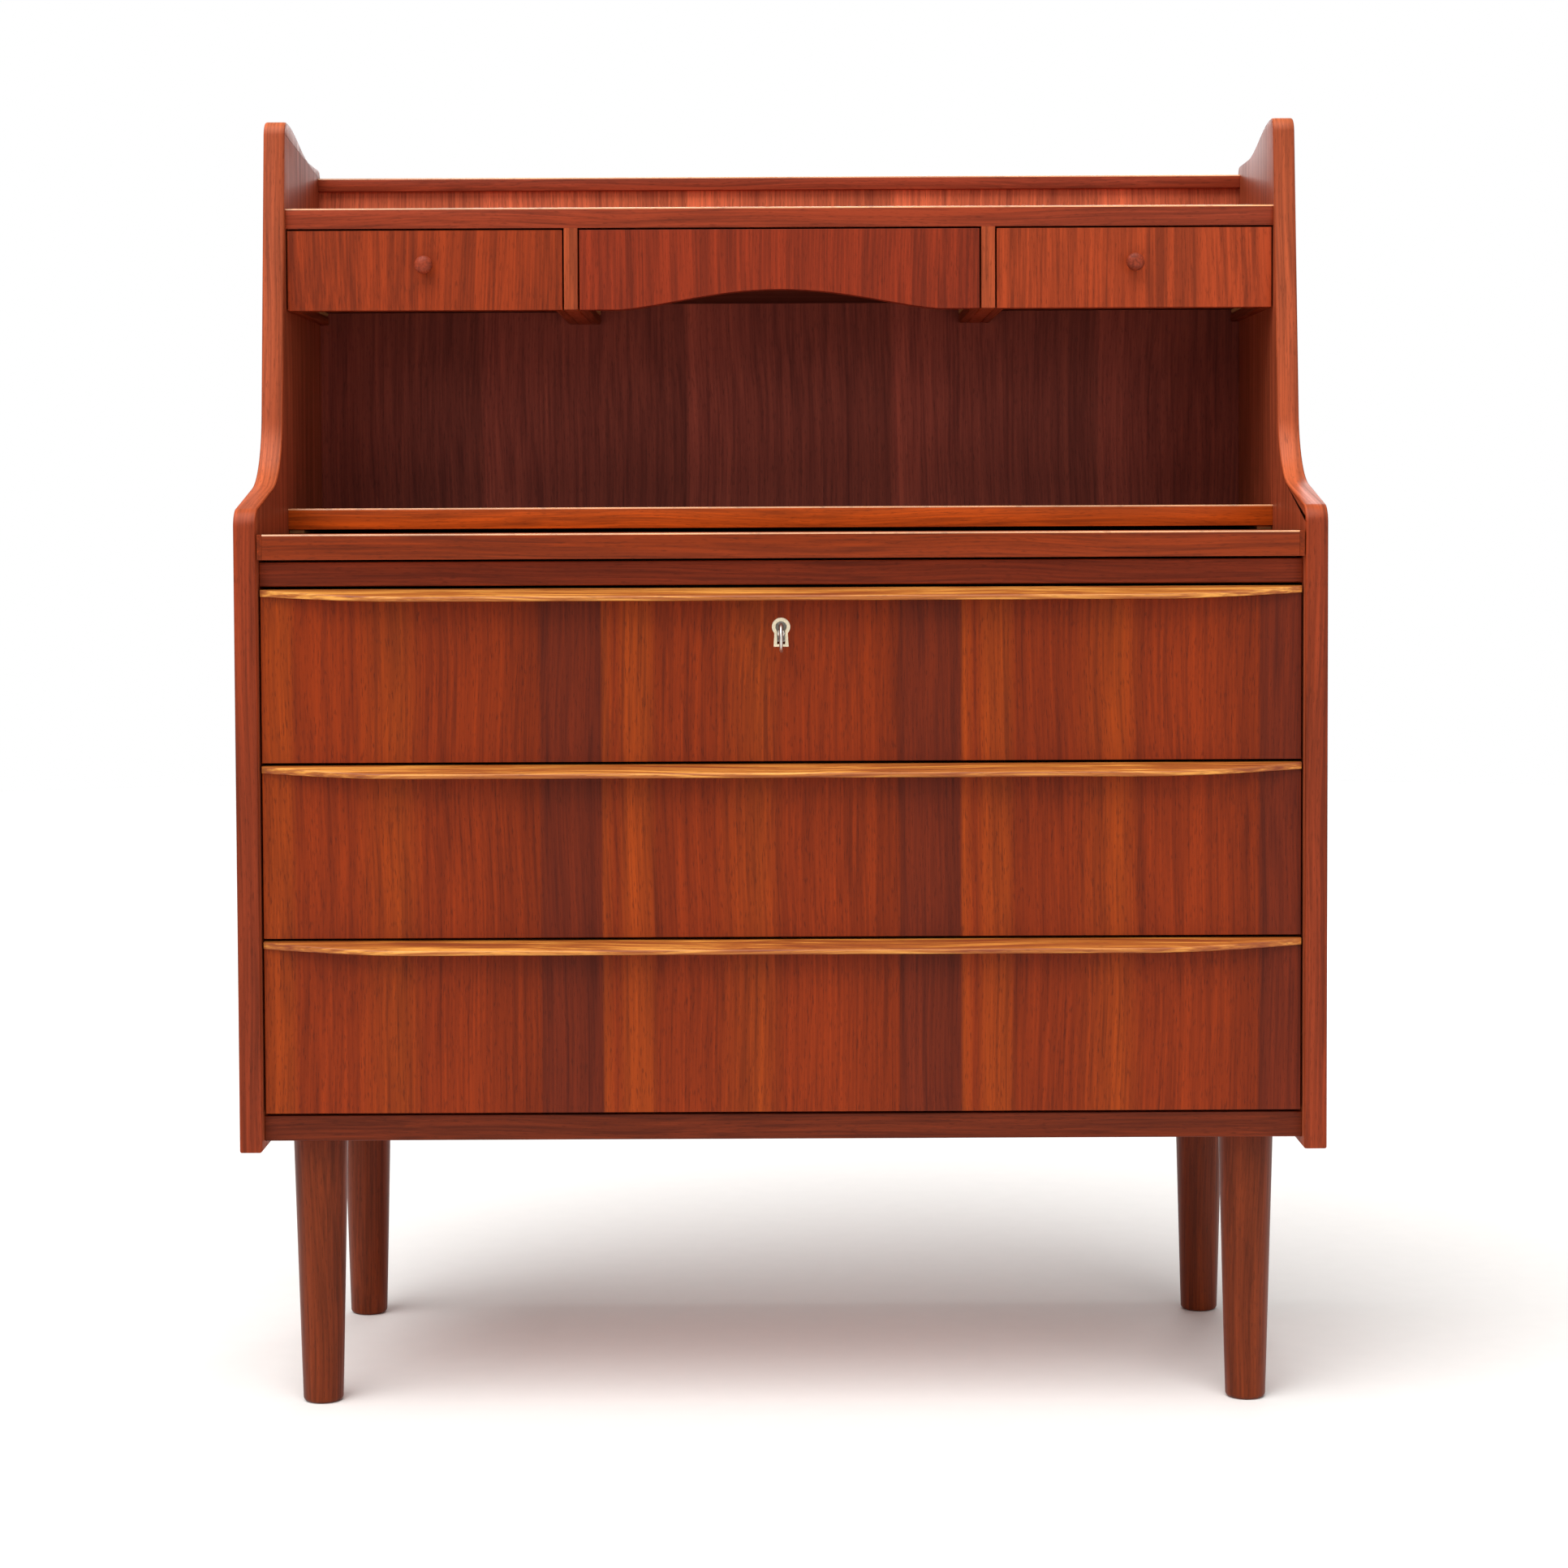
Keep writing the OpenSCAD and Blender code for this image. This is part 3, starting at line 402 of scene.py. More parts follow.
def stained_back(name, painted_lit_strip):
    """Veneered back board, stained deep brown-red; the strip above the top shelf is painted paler, as
    painted light.
    """
    c = colours()
    run = (
        (0.0, shade(c.stain, 1.3)),
        (0.3, shade(c.stain, 1.05)),
        (0.6, shade(c.stain, 0.95)),
        (0.97, shade(c.stain, 0.84)),
        (1.0, shade(c.stain, 1.3)),
    )
    tones = (shade(c.stain, 0.6), c.stain, shade(c.stain, 1.2))
    # Leaves 206 mm wide, one of them from 89 mm left of the middle
    leaf = (206 * MM, -89 * MM, run)
    made = wood(name, tones, "Z", seed=2.2, polish=0.5, pores=0.4, leaf=leaf, stripes=0.08)
    # The painted light fades in behind the small drawers, so that all that shows above the top shelf is pale
    return paint_light_gain(made, 1.03, 1.07, (2.5, 3.0, 2.1)) if painted_lit_strip else made


def paint_light_gain(made, low, high, gain, of="Object"):
    """Paints light on the front of a wood: brightens it above a height or, by its Normal, where it faces up.
    """
    tree = made.node_tree
    target = tree.nodes["Principled BSDF"].inputs["Base Color"]
    deep = target.links[0].from_socket
    spot = add(tree, "TexCoord")
    height = add(tree, "SeparateXYZ", {0: spot.outputs[of]}).outputs["Z"]
    above = add(tree, "MapRange", {"Value": height, "From Min": low, "From Max": high})
    facing = add(tree, "SeparateXYZ", {0: spot.outputs["Normal"]}).outputs["Y"]
    front = add(tree, "Math", {0: facing, 1: -0.02}, operation="LESS_THAN")
    amount = add(tree, "Math", {0: above.outputs[0], 1: front.outputs[0]}, operation="MULTIPLY")
    lifted = add(
        tree,
        "Mix",
        {0: amount.outputs[0], 6: deep, 7: (*gain, 1.0)},
        data_type="RGBA",
        blend_type="MULTIPLY",
    )
    tree.links.new(lifted.outputs[2], target)
    return made


def gable_edge(name):
    """Solid teak edge band: the grain follows the outline; the leaning part is painted paler, as painted
    light from above.
    """
    made = teak(name, colours().gable_edge, "YZ", 2.7)
    # Painted light: paler from the writing slide's height up
    paint_light_gain(made, 0.79, 0.87, (1.65, 2.2, 2.7))
    # Painted highlight: paler where the edge faces up
    return paint_light_gain(made, 0.2, 0.9, (1.7, 2.1, 2.3), of="Normal")


def beech(name, grain, seed):
    """Planed beech: pale pinkish brown with short darker flecks."""
    c = colours()
    run = (shade(c.beech, 0.8), c.beech, shade(c.beech, 1.12))
    return wood(name, run, grain, seed=seed, polish=0.55, pores=0.25, stripes=0.6)


def birch_ply(name, colour):
    """Rotary-cut birch plywood, sanded, with broad soft figure."""
    run = (shade(colour, 0.86), colour, shade(colour, 1.12))
    return wood(name, run, "X", seed=4.1, polish=0.6, pores=0.1, stripes=0.5)


# What each finish is called, the slot of the record it takes its look from, and how it is made
FINISHES = {
    "teak_leaf_veneer": ("teak_veneer", front_veneer),
    "teak_veneer_upright": ("teak_veneer", lambda n: teak(n, colours().veneer, "Z", 0.9)),
    "teak_veneer_across": ("teak_veneer", lambda n: teak(n, colours().veneer, "X", 1.4)),
    "teak_veneer_small_left": ("teak_veneer", lambda n: teak(n, colours().small_left, "Z", 3.3)),
    "teak_veneer_small_centre": ("teak_veneer", lambda n: teak(n, colours().small_centre, "Z", 5.2)),
    "teak_veneer_small_right": ("teak_veneer", lambda n: teak(n, colours().small_right, "Z", 6.1)),
    "teak_stained_back_upper": ("teak_veneer", lambda n: stained_back(n, True)),
    "teak_stained_back_lower": ("teak_veneer", lambda n: stained_back(n, False)),
    "teak_gable_edge": ("teak_solid", gable_edge),
    "teak_top_edging": ("teak_solid", lambda n: teak(n, colours().top_edging, "X", 0.2)),
    "teak_shelf_edging": ("teak_solid", lambda n: teak(n, colours().shelf_edging, "X", 0.7)),
    "teak_slide_edging": ("teak_solid", lambda n: teak(n, colours().slide_edging, "X", 6.6)),
    "teak_slide_end": ("teak_solid", lambda n: teak(n, colours().slide_edging, "Y", 1.9)),
    "teak_front_rail": ("teak_solid", lambda n: teak(n, colours().rail, "X", 7.4)),
    "teak_bottom_edging": ("teak_solid", lambda n: teak(n, colours().bottom_edging, "X", 8.3)),
    "teak_divider": ("teak_solid", lambda n: teak(n, colours().divider, "Z", 1.1)),
    "teak_back_rail": ("teak_solid", lambda n: teak(n, colours().back_rail, "X", 9.1)),
    "teak_runner": ("teak_solid", lambda n: teak(n, shade(colours().divider, 0.7), "Y", 4.4)),
    "teak_knob": ("teak_solid", lambda n: teak(n, colours().knob, "Y", 5.9)),
    "teak_leg": ("teak_solid", lambda n: teak(n, colours().leg, "Z", 1.3, polish=0.4)),
    "teak_lip": ("teak_solid", lip_teak),
    "teak_arris": ("teak_solid", worn_highlit_arris),
    "beech_planed_inward": ("beech", lambda n: beech(n, "Y", 0.4)),
    "beech_planed_across": ("beech", lambda n: beech(n, "X", 1.3)),
    "birch_plywood": ("plywood", lambda n: birch_ply(n, colours().plywood)),
    "birch_plywood_stained": ("plywood", lambda n: birch_ply(n, colours().stained_shaded_ply)),
    "brass_lacquered": ("brass", lambda n: metal(n, colours().brass, 0.55, tarnish=0.06)),
    "nickel_plated": ("steel", lambda n: metal(n, colours().nickel, 0.34, tarnish=0.12)),
    "steel_zinc_plated": ("steel", lambda n: metal(n, shade(colours().nickel, 0.7), 0.4)),
}


def finish(name):
    """The material of that finish, made when it is first asked for."""
    found = bpy.data.materials.get(name)
    return found or FINISHES[name][1](name)


# ---- Making pieces ----


def activate(piece, *others):
    """Only these objects are selected, and the first is the active one."""
    if bpy.context.object and bpy.context.object.mode != "OBJECT":
        bpy.ops.object.mode_set(mode="OBJECT")
    bpy.ops.object.select_all(action="DESELECT")
    for each in (piece, *others):
        each.select_set(True)
    bpy.context.view_layer.objects.active = piece


def dress(piece, finish_names):
    """Gives a piece its finishes, the first of them all over."""
    piece.data.materials.clear()
    for name in finish_names:
        piece.data.materials.append(finish(name))


def install(piece, node, finish_name):
    """The piece stands for its CAD node and rides on that node's body."""
    activate(piece)
    bpy.ops.object.shade_smooth_by_angle(angle=math.radians(20))
    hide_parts(node)
    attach(piece, NODES[node]["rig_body"])


def merged_copy(node, suffix):
    """A copy of a CAD node with its triangles joined into flat faces."""
    source = NODES[node]
    piece = source.copy()
    piece.data = source.data.copy()
    piece.name = f"{node}_{suffix}"
    piece.data.name = piece.name
    piece.parent = None
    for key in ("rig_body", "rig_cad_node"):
        del piece[key]
    bpy.context.scene.collection.objects.link(piece)
    activate(piece)
    bpy.ops.object.mode_set(mode="EDIT")
    bpy.ops.mesh.customdata_custom_splitnormals_clear()
    bpy.ops.mesh.select_all(action="SELECT")
    bpy.ops.mesh.remove_doubles(threshold=0.002 * MM)
    bpy.ops.mesh.dissolve_limited(angle_limit=math.radians(0.5))
    bpy.ops.object.mode_set(mode="OBJECT")
    return piece


def islands(mesh):
    """The vertex sets of a mesh's separate parts."""
    left = set(mesh.verts)
    while left:
        part, front = set(), [left.pop()]
        while front:
            vert = front.pop()
            part.add(vert)
            for edge in vert.link_edges:
                other = edge.other_vert(vert)
                if other in left:
                    left.discard(other)
                    front.append(other)
        yield part


NEAR = 0.05 * MM


def box_of(verts):
    """Lowest and highest corner of some vertices."""
    low = [min(v.co[i] for v in verts) for i in range(3)]
    high = [max(v.co[i] for v in verts) for i in range(3)]
    return low, high


def on_box_edges(edge, low, high):
    """True for an edge that lies along one of the board's twelve arrises."""
    shared = 0
    for axis in range(3):
        for wall in (low[axis], high[axis]):
            if all(abs(v.co[axis] - wall) < NEAR for v in edge.verts):
                shared += 1
    return shared >= 2


def on_front_top(edge, low, high):
    """True for the upper front arris of a board."""
    spots = [(abs(v.co.y - low[1]), abs(v.co.z - high[2])) for v in edge.verts]
    return all(max(spot) < NEAR for spot in spots)


def on_outline(axis, wall_of):
    """A test for the sharp edges in one outer plane across an axis."""

    def test(edge, low, high):
        wall = wall_of(low[axis], high[axis])
        flat = all(abs(v.co[axis] - wall) < NEAR for v in edge.verts)
        return flat and len(edge.link_faces) == 2 and edge.calc_face_angle(0) > math.radians(40)

    return test


def gable_outline_edges(edge, low, high):
    """True for the outline of a gable, on its outer and its inner face."""
    if len(edge.link_faces) != 2 or edge.calc_face_angle(0) < math.radians(40):
        return False
    walls = (low[0], high[0])
    if not any(all(abs(v.co.x - wall) < NEAR for v in edge.verts) for wall in walls):
        return False
    ahead = max(v.co.y for v in edge.verts)
    # The dowel holes and the rebate lie behind the front band and below the upper edge
    outer = max(walls, key=abs)
    if all(abs(v.co.x - outer) < NEAR for v in edge.verts):
        return True
    side = [f for f in edge.link_faces if abs(f.normal.x) < 0.5]
    if not side:
        return False
    span = box_of(side[0].verts)
    return span[1][0] - span[0][0] > 0.9 * (high[0] - low[0]) and ahead < high[1]


def ease(piece, width, test, segments=2, skin=1):
    """Rounds the chosen edges; the new faces take the piece's second finish, or the first."""
    activate(piece)
    bpy.ops.object.mode_set(mode="EDIT")
    bpy.ops.mesh.select_mode(type="EDGE")
    bpy.ops.mesh.select_all(action="DESELECT")
    mesh = bmesh.from_edit_mesh(piece.data)
    for part in list(islands(mesh)):
        low, high = box_of(part)
        for edge in {e for v in part for e in v.link_edges}:
            edge.select_set(test(edge, low, high))
    bmesh.update_edit_mesh(piece.data)
    bpy.ops.mesh.bevel(offset=width, segments=segments, affect="EDGES", material=skin)
    bpy.ops.object.mode_set(mode="OBJECT")


def eased_board(node, finish_name, width=None, test=on_box_edges):
    """A board cut as the CAD says, with its arrises taken off."""
    piece = merged_copy(node, "eased")
    dress(piece, (finish_name,))
    ease(piece, width or sizes().arris, test, skin=0)
    install(piece, node, finish_name)


def worn_highlit_edging(node, finish_name):
    """An edging whose upper front arris is rounder and rubbed pale, its paleness partly a painted highlight.
    """
    piece = merged_copy(node, "eased")
    dress(piece, (finish_name, "teak_arris"))
    ease(piece, sizes().edging_arris, on_front_top, segments=3)
    ease(piece, sizes().fine_arris, on_box_edges, skin=0)
    install(piece, node, finish_name)


def turned(name, profile, steps=48):
    """A piece turned about Z; the profile is (radius, height) from one end to the other."""
    radius, height = profile[0]
    bpy.ops.object.select_all(action="DESELECT")
    bpy.ops.mesh.primitive_circle_add(
        vertices=steps, radius=radius, fill_type="NGON", location=(0, 0, height)
    )
    piece = bpy.context.object
    piece.name = name
    bpy.ops.object.transform_apply()
    bpy.ops.object.mode_set(mode="EDIT")
    bpy.ops.mesh.select_all(action="SELECT")
    for wide, tall in profile[1:]:
        bpy.ops.mesh.extrude_region_move(TRANSFORM_OT_translate={"value": (0, 0, tall - height)})
        grown = wide / radius
        bpy.ops.transform.resize(value=(grown, grown, 1), center_override=(0, 0, tall))
        radius, height = wide, tall
    bpy.ops.mesh.select_all(action="SELECT")
    bpy.ops.mesh.normals_make_consistent(inside=False)
    bpy.ops.object.mode_set(mode="OBJECT")
    return piece


def settle(piece, matrix):
    """Moves a piece's mesh into place and leaves its object at the origin."""
    piece.data.transform(matrix)
    piece.matrix_world = Matrix.Identity(4)
    return piece


def cut(piece, low, high):
    """Takes a box out of a piece."""
    middle = (Vector(low) + Vector(high)) / 2
    bpy.ops.object.select_all(action="DESELECT")
    bpy.ops.mesh.primitive_cube_add(size=1.0, location=middle)
    cutter = bpy.context.object
    cutter.scale = Vector(high) - Vector(low)
    bpy.ops.object.transform_apply()
    activate(piece)
    tool = piece.modifiers.new("cut", "BOOLEAN")
    tool.operation = "DIFFERENCE"
    tool.solver = "EXACT"
    tool.object = cutter
    bpy.ops.object.modifier_apply(modifier=tool.name)
    bpy.data.objects.remove(cutter)


def corner_cut(points, rounds):
    """Rounds an open run of points by cutting its corners; the ends stay."""
    for _ in range(rounds):
        out = [points[0]]
        for a, b in zip(points, points[1:]):
            out.append((a[0] * 0.75 + b[0] * 0.25, a[1] * 0.75 + b[1] * 0.25))
            out.append((a[0] * 0.25 + b[0] * 0.75, a[1] * 0.25 + b[1] * 0.75))
        out.append(points[-1])
        points = out
    return points


def context_object(name):
    """The object just added, under its own name and with its mesh in place."""
    piece = bpy.context.object
    piece.name = name
    piece.data.name = name
    bpy.ops.object.transform_apply()
    return piece


# ---- Operators ----


class DESK_OT_gables(bpy.types.Operator):
    """Veneered gables with a solid edge band and a soft arris all round"""

    bl_idname = "desk.gables"
    bl_label = "Gables"

    def execute(self, context):
        for side in SIDES:
            piece = merged_copy(f"gable_{side}", "eased")
            dress(piece, ("teak_veneer_upright", "teak_gable_edge"))
            low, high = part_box(f"gable_{side}")
            for face in piece.data.polygons:
                edge_on = abs(face.normal.x) < 0.5
                deep = face.center.y > high.y - 12 * MM and face.center.z < 1.0
                face.material_index = 1 if edge_on and not deep else 0
            ease(piece, sizes().gable_arris, gable_outline_edges, 3)
            install(piece, f"gable_{side}", "teak_veneer_upright")
        return {"FINISHED"}


class DESK_OT_carcass(bpy.types.Operator):
    """Shelves, bottom, back, dividers and rails, with their edgings"""

    bl_idname = "desk.carcass"
    bl_label = "Carcass boards"

    def execute(self, context):
        boards = {
            "bottom_panel": "teak_veneer_across",
            "compartment_shelf": "teak_veneer_across",
            "top_shelf": "teak_veneer_across",
            "back_panel_upper": "teak_stained_back_upper",
            "back_panel_lower": "teak_stained_back_lower",
        }
        for node, finish_name in boards.items():
            eased_board(node, finish_name, sizes().fine_arris)
        solid = {
            "bottom_edging": "teak_bottom_edging",
            "divider_left": "teak_divider",
            "divider_right": "teak_divider",
            "slide_rail_front": "teak_front_rail",
        }
        for node, finish_name in solid.items():
            eased_board(node, finish_name)
        worn_highlit_edging("compartment_edging", "teak_shelf_edging")
        worn_highlit_edging("top_shelf_edging", "teak_top_edging")
        worn_highlit_edging("back_top_rail", "teak_back_rail")
        return {"FINISHED"}


class DESK_OT_slide(bpy.types.Operator):
    """Pull-out writing slide: veneered panel, solid edgings and stop blocks"""

    bl_idname = "desk.slide"
    bl_label = "Writing slide"

    def execute(self, context):
        fine = sizes().fine_arris
        eased_board("slide_panel", "teak_veneer_across", fine)
        worn_highlit_edging("slide_front_edging", "teak_slide_edging")
        eased_board("slide_end_edgings", "teak_slide_end", fine)
        eased_board("slide_stops", "beech_planed_inward")
        return {"FINISHED"}


class DESK_OT_long_fronts(bpy.types.Operator):
    """Slip-matched fronts of the three long drawers"""

    bl_idname = "desk.long_fronts"
    bl_label = "Long drawer fronts"

    def execute(self, context):
        for row in ROWS:
            eased_board(f"drawer_{row}_front", "teak_leaf_veneer", sizes().fine_arris)
        return {"FINISHED"}


class DESK_OT_lips(bpy.types.Operator):
    """Shaped lip pulls that swell from each end to a thick nose in the middle"""

    bl_idname = "desk.lips"
    bl_label = "Lip pulls"

    def execute(self, context):
        for row in ROWS:
            self.lip(row)
        return {"FINISHED"}

    def lip(self, row):
        """One lip: a strip wrapped round its section, station by station."""
        node = f"drawer_{row}_lip"
        low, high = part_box(node)
        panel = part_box(f"drawer_{row}_front")
        ahead = panel[0].y
        end_h = high.z - panel[1].z
        mid_h = high.z - low.z
        reach_full = ahead - low.y
        half = high.x
        taper, fall_full, thick = 135 * MM, 6 * MM, high.y - ahead
        least = 1.5 * MM

        def section(share):
            reach = least + (reach_full - least) * share
            fall = fall_full * share
            deep = end_h + (mid_h - end_h) * share
            nose = (0.4 + 1.2 * share) * MM
            under = reach - 2 * nose
            run = [
                (0.0, -end_h),
                (under * 0.4, -end_h - 0.3 * MM * share),
                (under * 0.75, -(deep + end_h) / 2 - 0.4 * MM * share),
                (under, -deep),
                (reach - nose * 0.5, -deep + nose * 0.3),
                (reach, -deep + nose),
                (reach, -fall - nose * 0.8),
                (reach - nose * 0.8, -fall),
                (reach * 0.5, -fall * 0.42),
                (0.0, 0.0),
            ]
            return [(-thick, 0.0), (-thick, -end_h)] + corner_cut(run, 2)

        def share_at(x):
            t = min(1.0, max(0.0, (half - abs(x)) / taper))
            return 0.03 + 0.97 * (1 - (1 - t) ** 1.7)

        ends = [half - taper * (i / 20) ** 1.3 for i in range(21)]
        inner = [ends[-1] * (1 - i / 12) for i in range(1, 13)]
        right = ends + inner
        stations = [-x for x in right] + [x for x in reversed(right[:-1])]
        ring = len(section(1.0))
        bpy.ops.object.select_all(action="DESELECT")
        bpy.ops.mesh.primitive_grid_add(
            x_subdivisions=len(stations) - 1, y_subdivisions=ring, size=1.0
        )
        piece = context_object(f"{node}_shaped")
        piece.data.transform(Matrix.Translation((0.5, 0.5, 0.0)))
        for vert in piece.data.vertices:
            i = round(vert.co.x * (len(stations) - 1))
            k = round(vert.co.y * ring) % ring
            x = stations[i]
            forward, up = section(share_at(x))[k]
            vert.co = (x, ahead - forward, high.z + up)
        bpy.ops.object.mode_set(mode="EDIT")
        bpy.ops.mesh.select_all(action="SELECT")
        bpy.ops.mesh.remove_doubles(threshold=0.002 * MM)
        bpy.ops.mesh.select_all(action="DESELECT")
        bpy.ops.mesh.select_mode(type="EDGE")
        bpy.ops.mesh.select_non_manifold(extend=False, use_boundary=True)
        bpy.ops.mesh.edge_face_add()
        bpy.ops.mesh.select_all(action="SELECT")
        bpy.ops.mesh.normals_make_consistent(inside=False)
        bpy.ops.object.mode_set(mode="OBJECT")
        if row == "top":
            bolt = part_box("lock_bolt")
            play = 0.5 * MM
            cut(
                piece,
                (bolt[0].x / 2 - play, bolt[0].y - play, panel[1].z - MM),
                (bolt[1].x / 2 + play, bolt[1].y + play, high.z + MM),
            )
        dress(piece, ("teak_lip",))
        install(piece, node, "teak_lip")


class DESK_OT_small_fronts(bpy.types.Operator):
    """Fronts of the small drawers, the middle one with its arched grip"""

    bl_idname = "desk.small_fronts"
    bl_label = "Small drawer fronts"

    def execute(self, context):
        for bay in BAYS:
            test = on_outline(1, min) if bay == "centre" else on_box_edges
            veneer = f"teak_veneer_small_{bay}"
            eased_board(f"small_drawer_{bay}_front", veneer, sizes().fine_arris, test)
        return {"FINISHED"}


class DESK_OT_knobs(bpy.types.Operator):
    """Turned knobs with a waisted neck and a domed head"""

    bl_idname = "desk.knobs"
    bl_label = "Knobs"

    def execute(self, context):
        for side in SIDES:
            node = f"knob_{side}"
            low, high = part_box(node)
            r = (high.x - low.x) / 2
            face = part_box(f"small_drawer_{side}_front")[0].y
            reach = face - low.y
            neck, dome = r * 0.55, reach * 0.72
            profile = [(3.0 * MM, face - high.y), (3.4 * MM, face - high.y + 0.5 * MM)]
            profile += [(3.4 * MM, 0.0), (neck * 1.12, 0.0), (neck, 1.2 * MM), (neck, 3.6 * MM)]
            profile += [
                (
                    neck + (r - neck) * math.cos(math.radians(a)),
                    dome + 4 * MM * math.sin(math.radians(a)),
                )
                for a in range(-70, 1, 10)
            ]
            profile += [
                (
                    r * math.cos(math.radians(a)),
                    dome + (reach - dome) * math.sin(math.radians(a)),
                )
                for a in range(10, 86, 8)
            ]
            profile.append((0.4 * MM, reach))
            piece = turned(f"{node}_turned", profile)
            middle = ((low.x + high.x) / 2, face, (low.z + high.z) / 2)
            settle(piece, Matrix.Translation(middle) @ Matrix.Rotation(math.pi / 2, 4, "X"))
            dress(piece, ("teak_knob",))
            install(piece, node, "teak_knob")
        return {"FINISHED"}


class DESK_OT_drawer_boxes(bpy.types.Operator):
    """Sides, backs and bottoms of all six drawers"""

    bl_idname = "desk.drawer_boxes"
    bl_label = "Drawer boxes"

    def execute(self, context):
        for row in ROWS:
            eased_board(f"drawer_{row}_sides", "beech_planed_inward")
            eased_board(f"drawer_{row}_back", "beech_planed_across")
            eased_board(f"drawer_{row}_base", "birch_plywood")
        for bay in BAYS:
            eased_board(f"small_drawer_{bay}_box", "beech_planed_inward")
            # The small drawers' bottoms carry painted shade on top of their stain
            eased_board(f"small_drawer_{bay}_base", "birch_plywood_stained")
        return {"FINISHED"}


class DESK_OT_runners(bpy.types.Operator):
    """Runners and guides that the drawers and the slide move on"""

    bl_idname = "desk.runners"
    bl_label = "Runners and guides"

    def execute(self, context):
        for node in ("slide_guides", "drawer_runners"):
            eased_board(node, "beech_planed_inward")
        eased_board("small_drawer_runners", "teak_runner")
        return {"FINISHED"}


class DESK_OT_legs(bpy.types.Operator):
    """Turned tapering legs with a rounded foot"""

    bl_idname = "desk.legs"
    bl_label = "Legs"

    def execute(self, context):
        for place in ("front_left", "front_right", "rear_left", "rear_right"):
            node = f"leg_{place}"
            low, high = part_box(node)
            top_r = (high.x - low.x) / 2
            foot_r, round_r, tall = 18 * MM, 4 * MM, high.z
            profile = [(foot_r - round_r, 0.0)]
            for i in range(1, 7):
                a = math.radians(90 * i / 6)
                profile.append(
                    (foot_r - round_r * (1 - math.sin(a)), round_r * (1 - math.cos(a)))
                )
            for i in range(1, 8):
                t = i / 8
                z = round_r + (tall - round_r) * t
                profile.append((foot_r + (top_r - foot_r) * z / tall, z))
            profile += [(top_r - 0.05 * MM, tall - 0.8 * MM), (top_r - 0.8 * MM, tall)]
            profile += [(5 * MM, tall), (5 * MM, tall - 30 * MM)]
            piece = turned(f"{node}_turned", profile, 64)
            middle = ((low.x + high.x) / 2, (low.y + high.y) / 2, 0)
            settle(piece, Matrix.Translation(middle))
            dress(piece, ("teak_leg",))
            install(piece, node, "teak_leg")
        return {"FINISHED"}


class DESK_OT_lock(bpy.types.Operator):
    """Escutcheon, lock case, bolt and strike plate"""

    bl_idname = "desk.lock"
    bl_label = "Lock"

    def execute(self, context):
        fine = sizes().fine_arris
        self.escutcheon("lock_escutcheon")
        eased_board("lock_case", "nickel_plated", fine)
        eased_board("lock_bolt", "brass_lacquered", fine)
        eased_board("lock_strike", "brass_lacquered", fine / 2)
        return {"FINISHED"}

    def escutcheon(self, node):
        """A keyhole rim: one closed ring whose section follows the plate and the hole."""
        low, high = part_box(node)
        head = (high.x - low.x) / 2
        tail = high.z - head - low.z
        rim, slot, arris = 3.3 * MM, 7 * MM, sizes().fine_arris
        waist, foot = head * 1.4 / 2, head * 1.65 / 2
        slot_foot = tail - rim * 0.7
        # A point inside both the round head and the slot, from which each outline is seen whole
        middle = Vector((0, -4 * MM))
        plate = [(waist, 0), (foot, -tail), (-foot, -tail), (-waist, 0)]
        hole = [(slot / 2, 0), (slot / 2, -slot_foot), (-slot / 2, -slot_foot), (-slot / 2, 0)]

        def reach(way, radius, corners):
            """How far out of the middle the union of a disc and a convex foot goes that way."""
            along = middle.dot(way)
            far = [-along + math.sqrt(along**2 - middle.length_squared + radius**2)]
            inside = []
            for a, b in zip(corners, corners[1:] + corners[:1]):
                edge = Vector(b) - Vector(a)
                across = Vector((edge.y, -edge.x))
                if abs(across.dot(way)) > 1e-9:
                    gap = across.dot(Vector(a) - middle) / across.dot(way)
                    inside += [gap] if gap > 0 else []
            return max(far + [min(inside)])

        turns = [math.tau * i / 96 for i in range(96)]
        for x, z in plate[1:3] + hole[1:3]:
            turns.append(math.atan2(z - middle.y, x - middle.x) % math.tau)
        turns.sort()
        bpy.ops.object.select_all(action="DESELECT")
        bpy.ops.mesh.primitive_torus_add(
            major_segments=len(turns), minor_segments=8, major_radius=1, minor_radius=0.2
        )
        piece = context_object(f"{node}_shaped")
        for i, turn in enumerate(turns):
            way = Vector((math.cos(turn), math.sin(turn)))
            inner, outer = reach(way, head - rim, hole), reach(way, head, plate)
            section = [
                (outer, high.y),
                (outer, low.y + arris),
                (outer - arris * 0.3, low.y + arris * 0.3),
                (outer - arris, low.y),
                (inner + arris, low.y),
                (inner + arris * 0.3, low.y + arris * 0.3),
                (inner, low.y + arris),
                (inner, high.y),
            ]
            for k, (far, y) in enumerate(section):
                spot = middle + way * far
                piece.data.vertices[i * 8 + k].co = (spot.x, y, high.z - head + spot.y)
        bpy.ops.object.mode_set(mode="EDIT")
        bpy.ops.mesh.select_all(action="SELECT")
        bpy.ops.mesh.normals_make_consistent(inside=False)
        bpy.ops.object.mode_set(mode="OBJECT")
        dress(piece, ("brass_lacquered",))
        install(piece, node, "brass_lacquered")


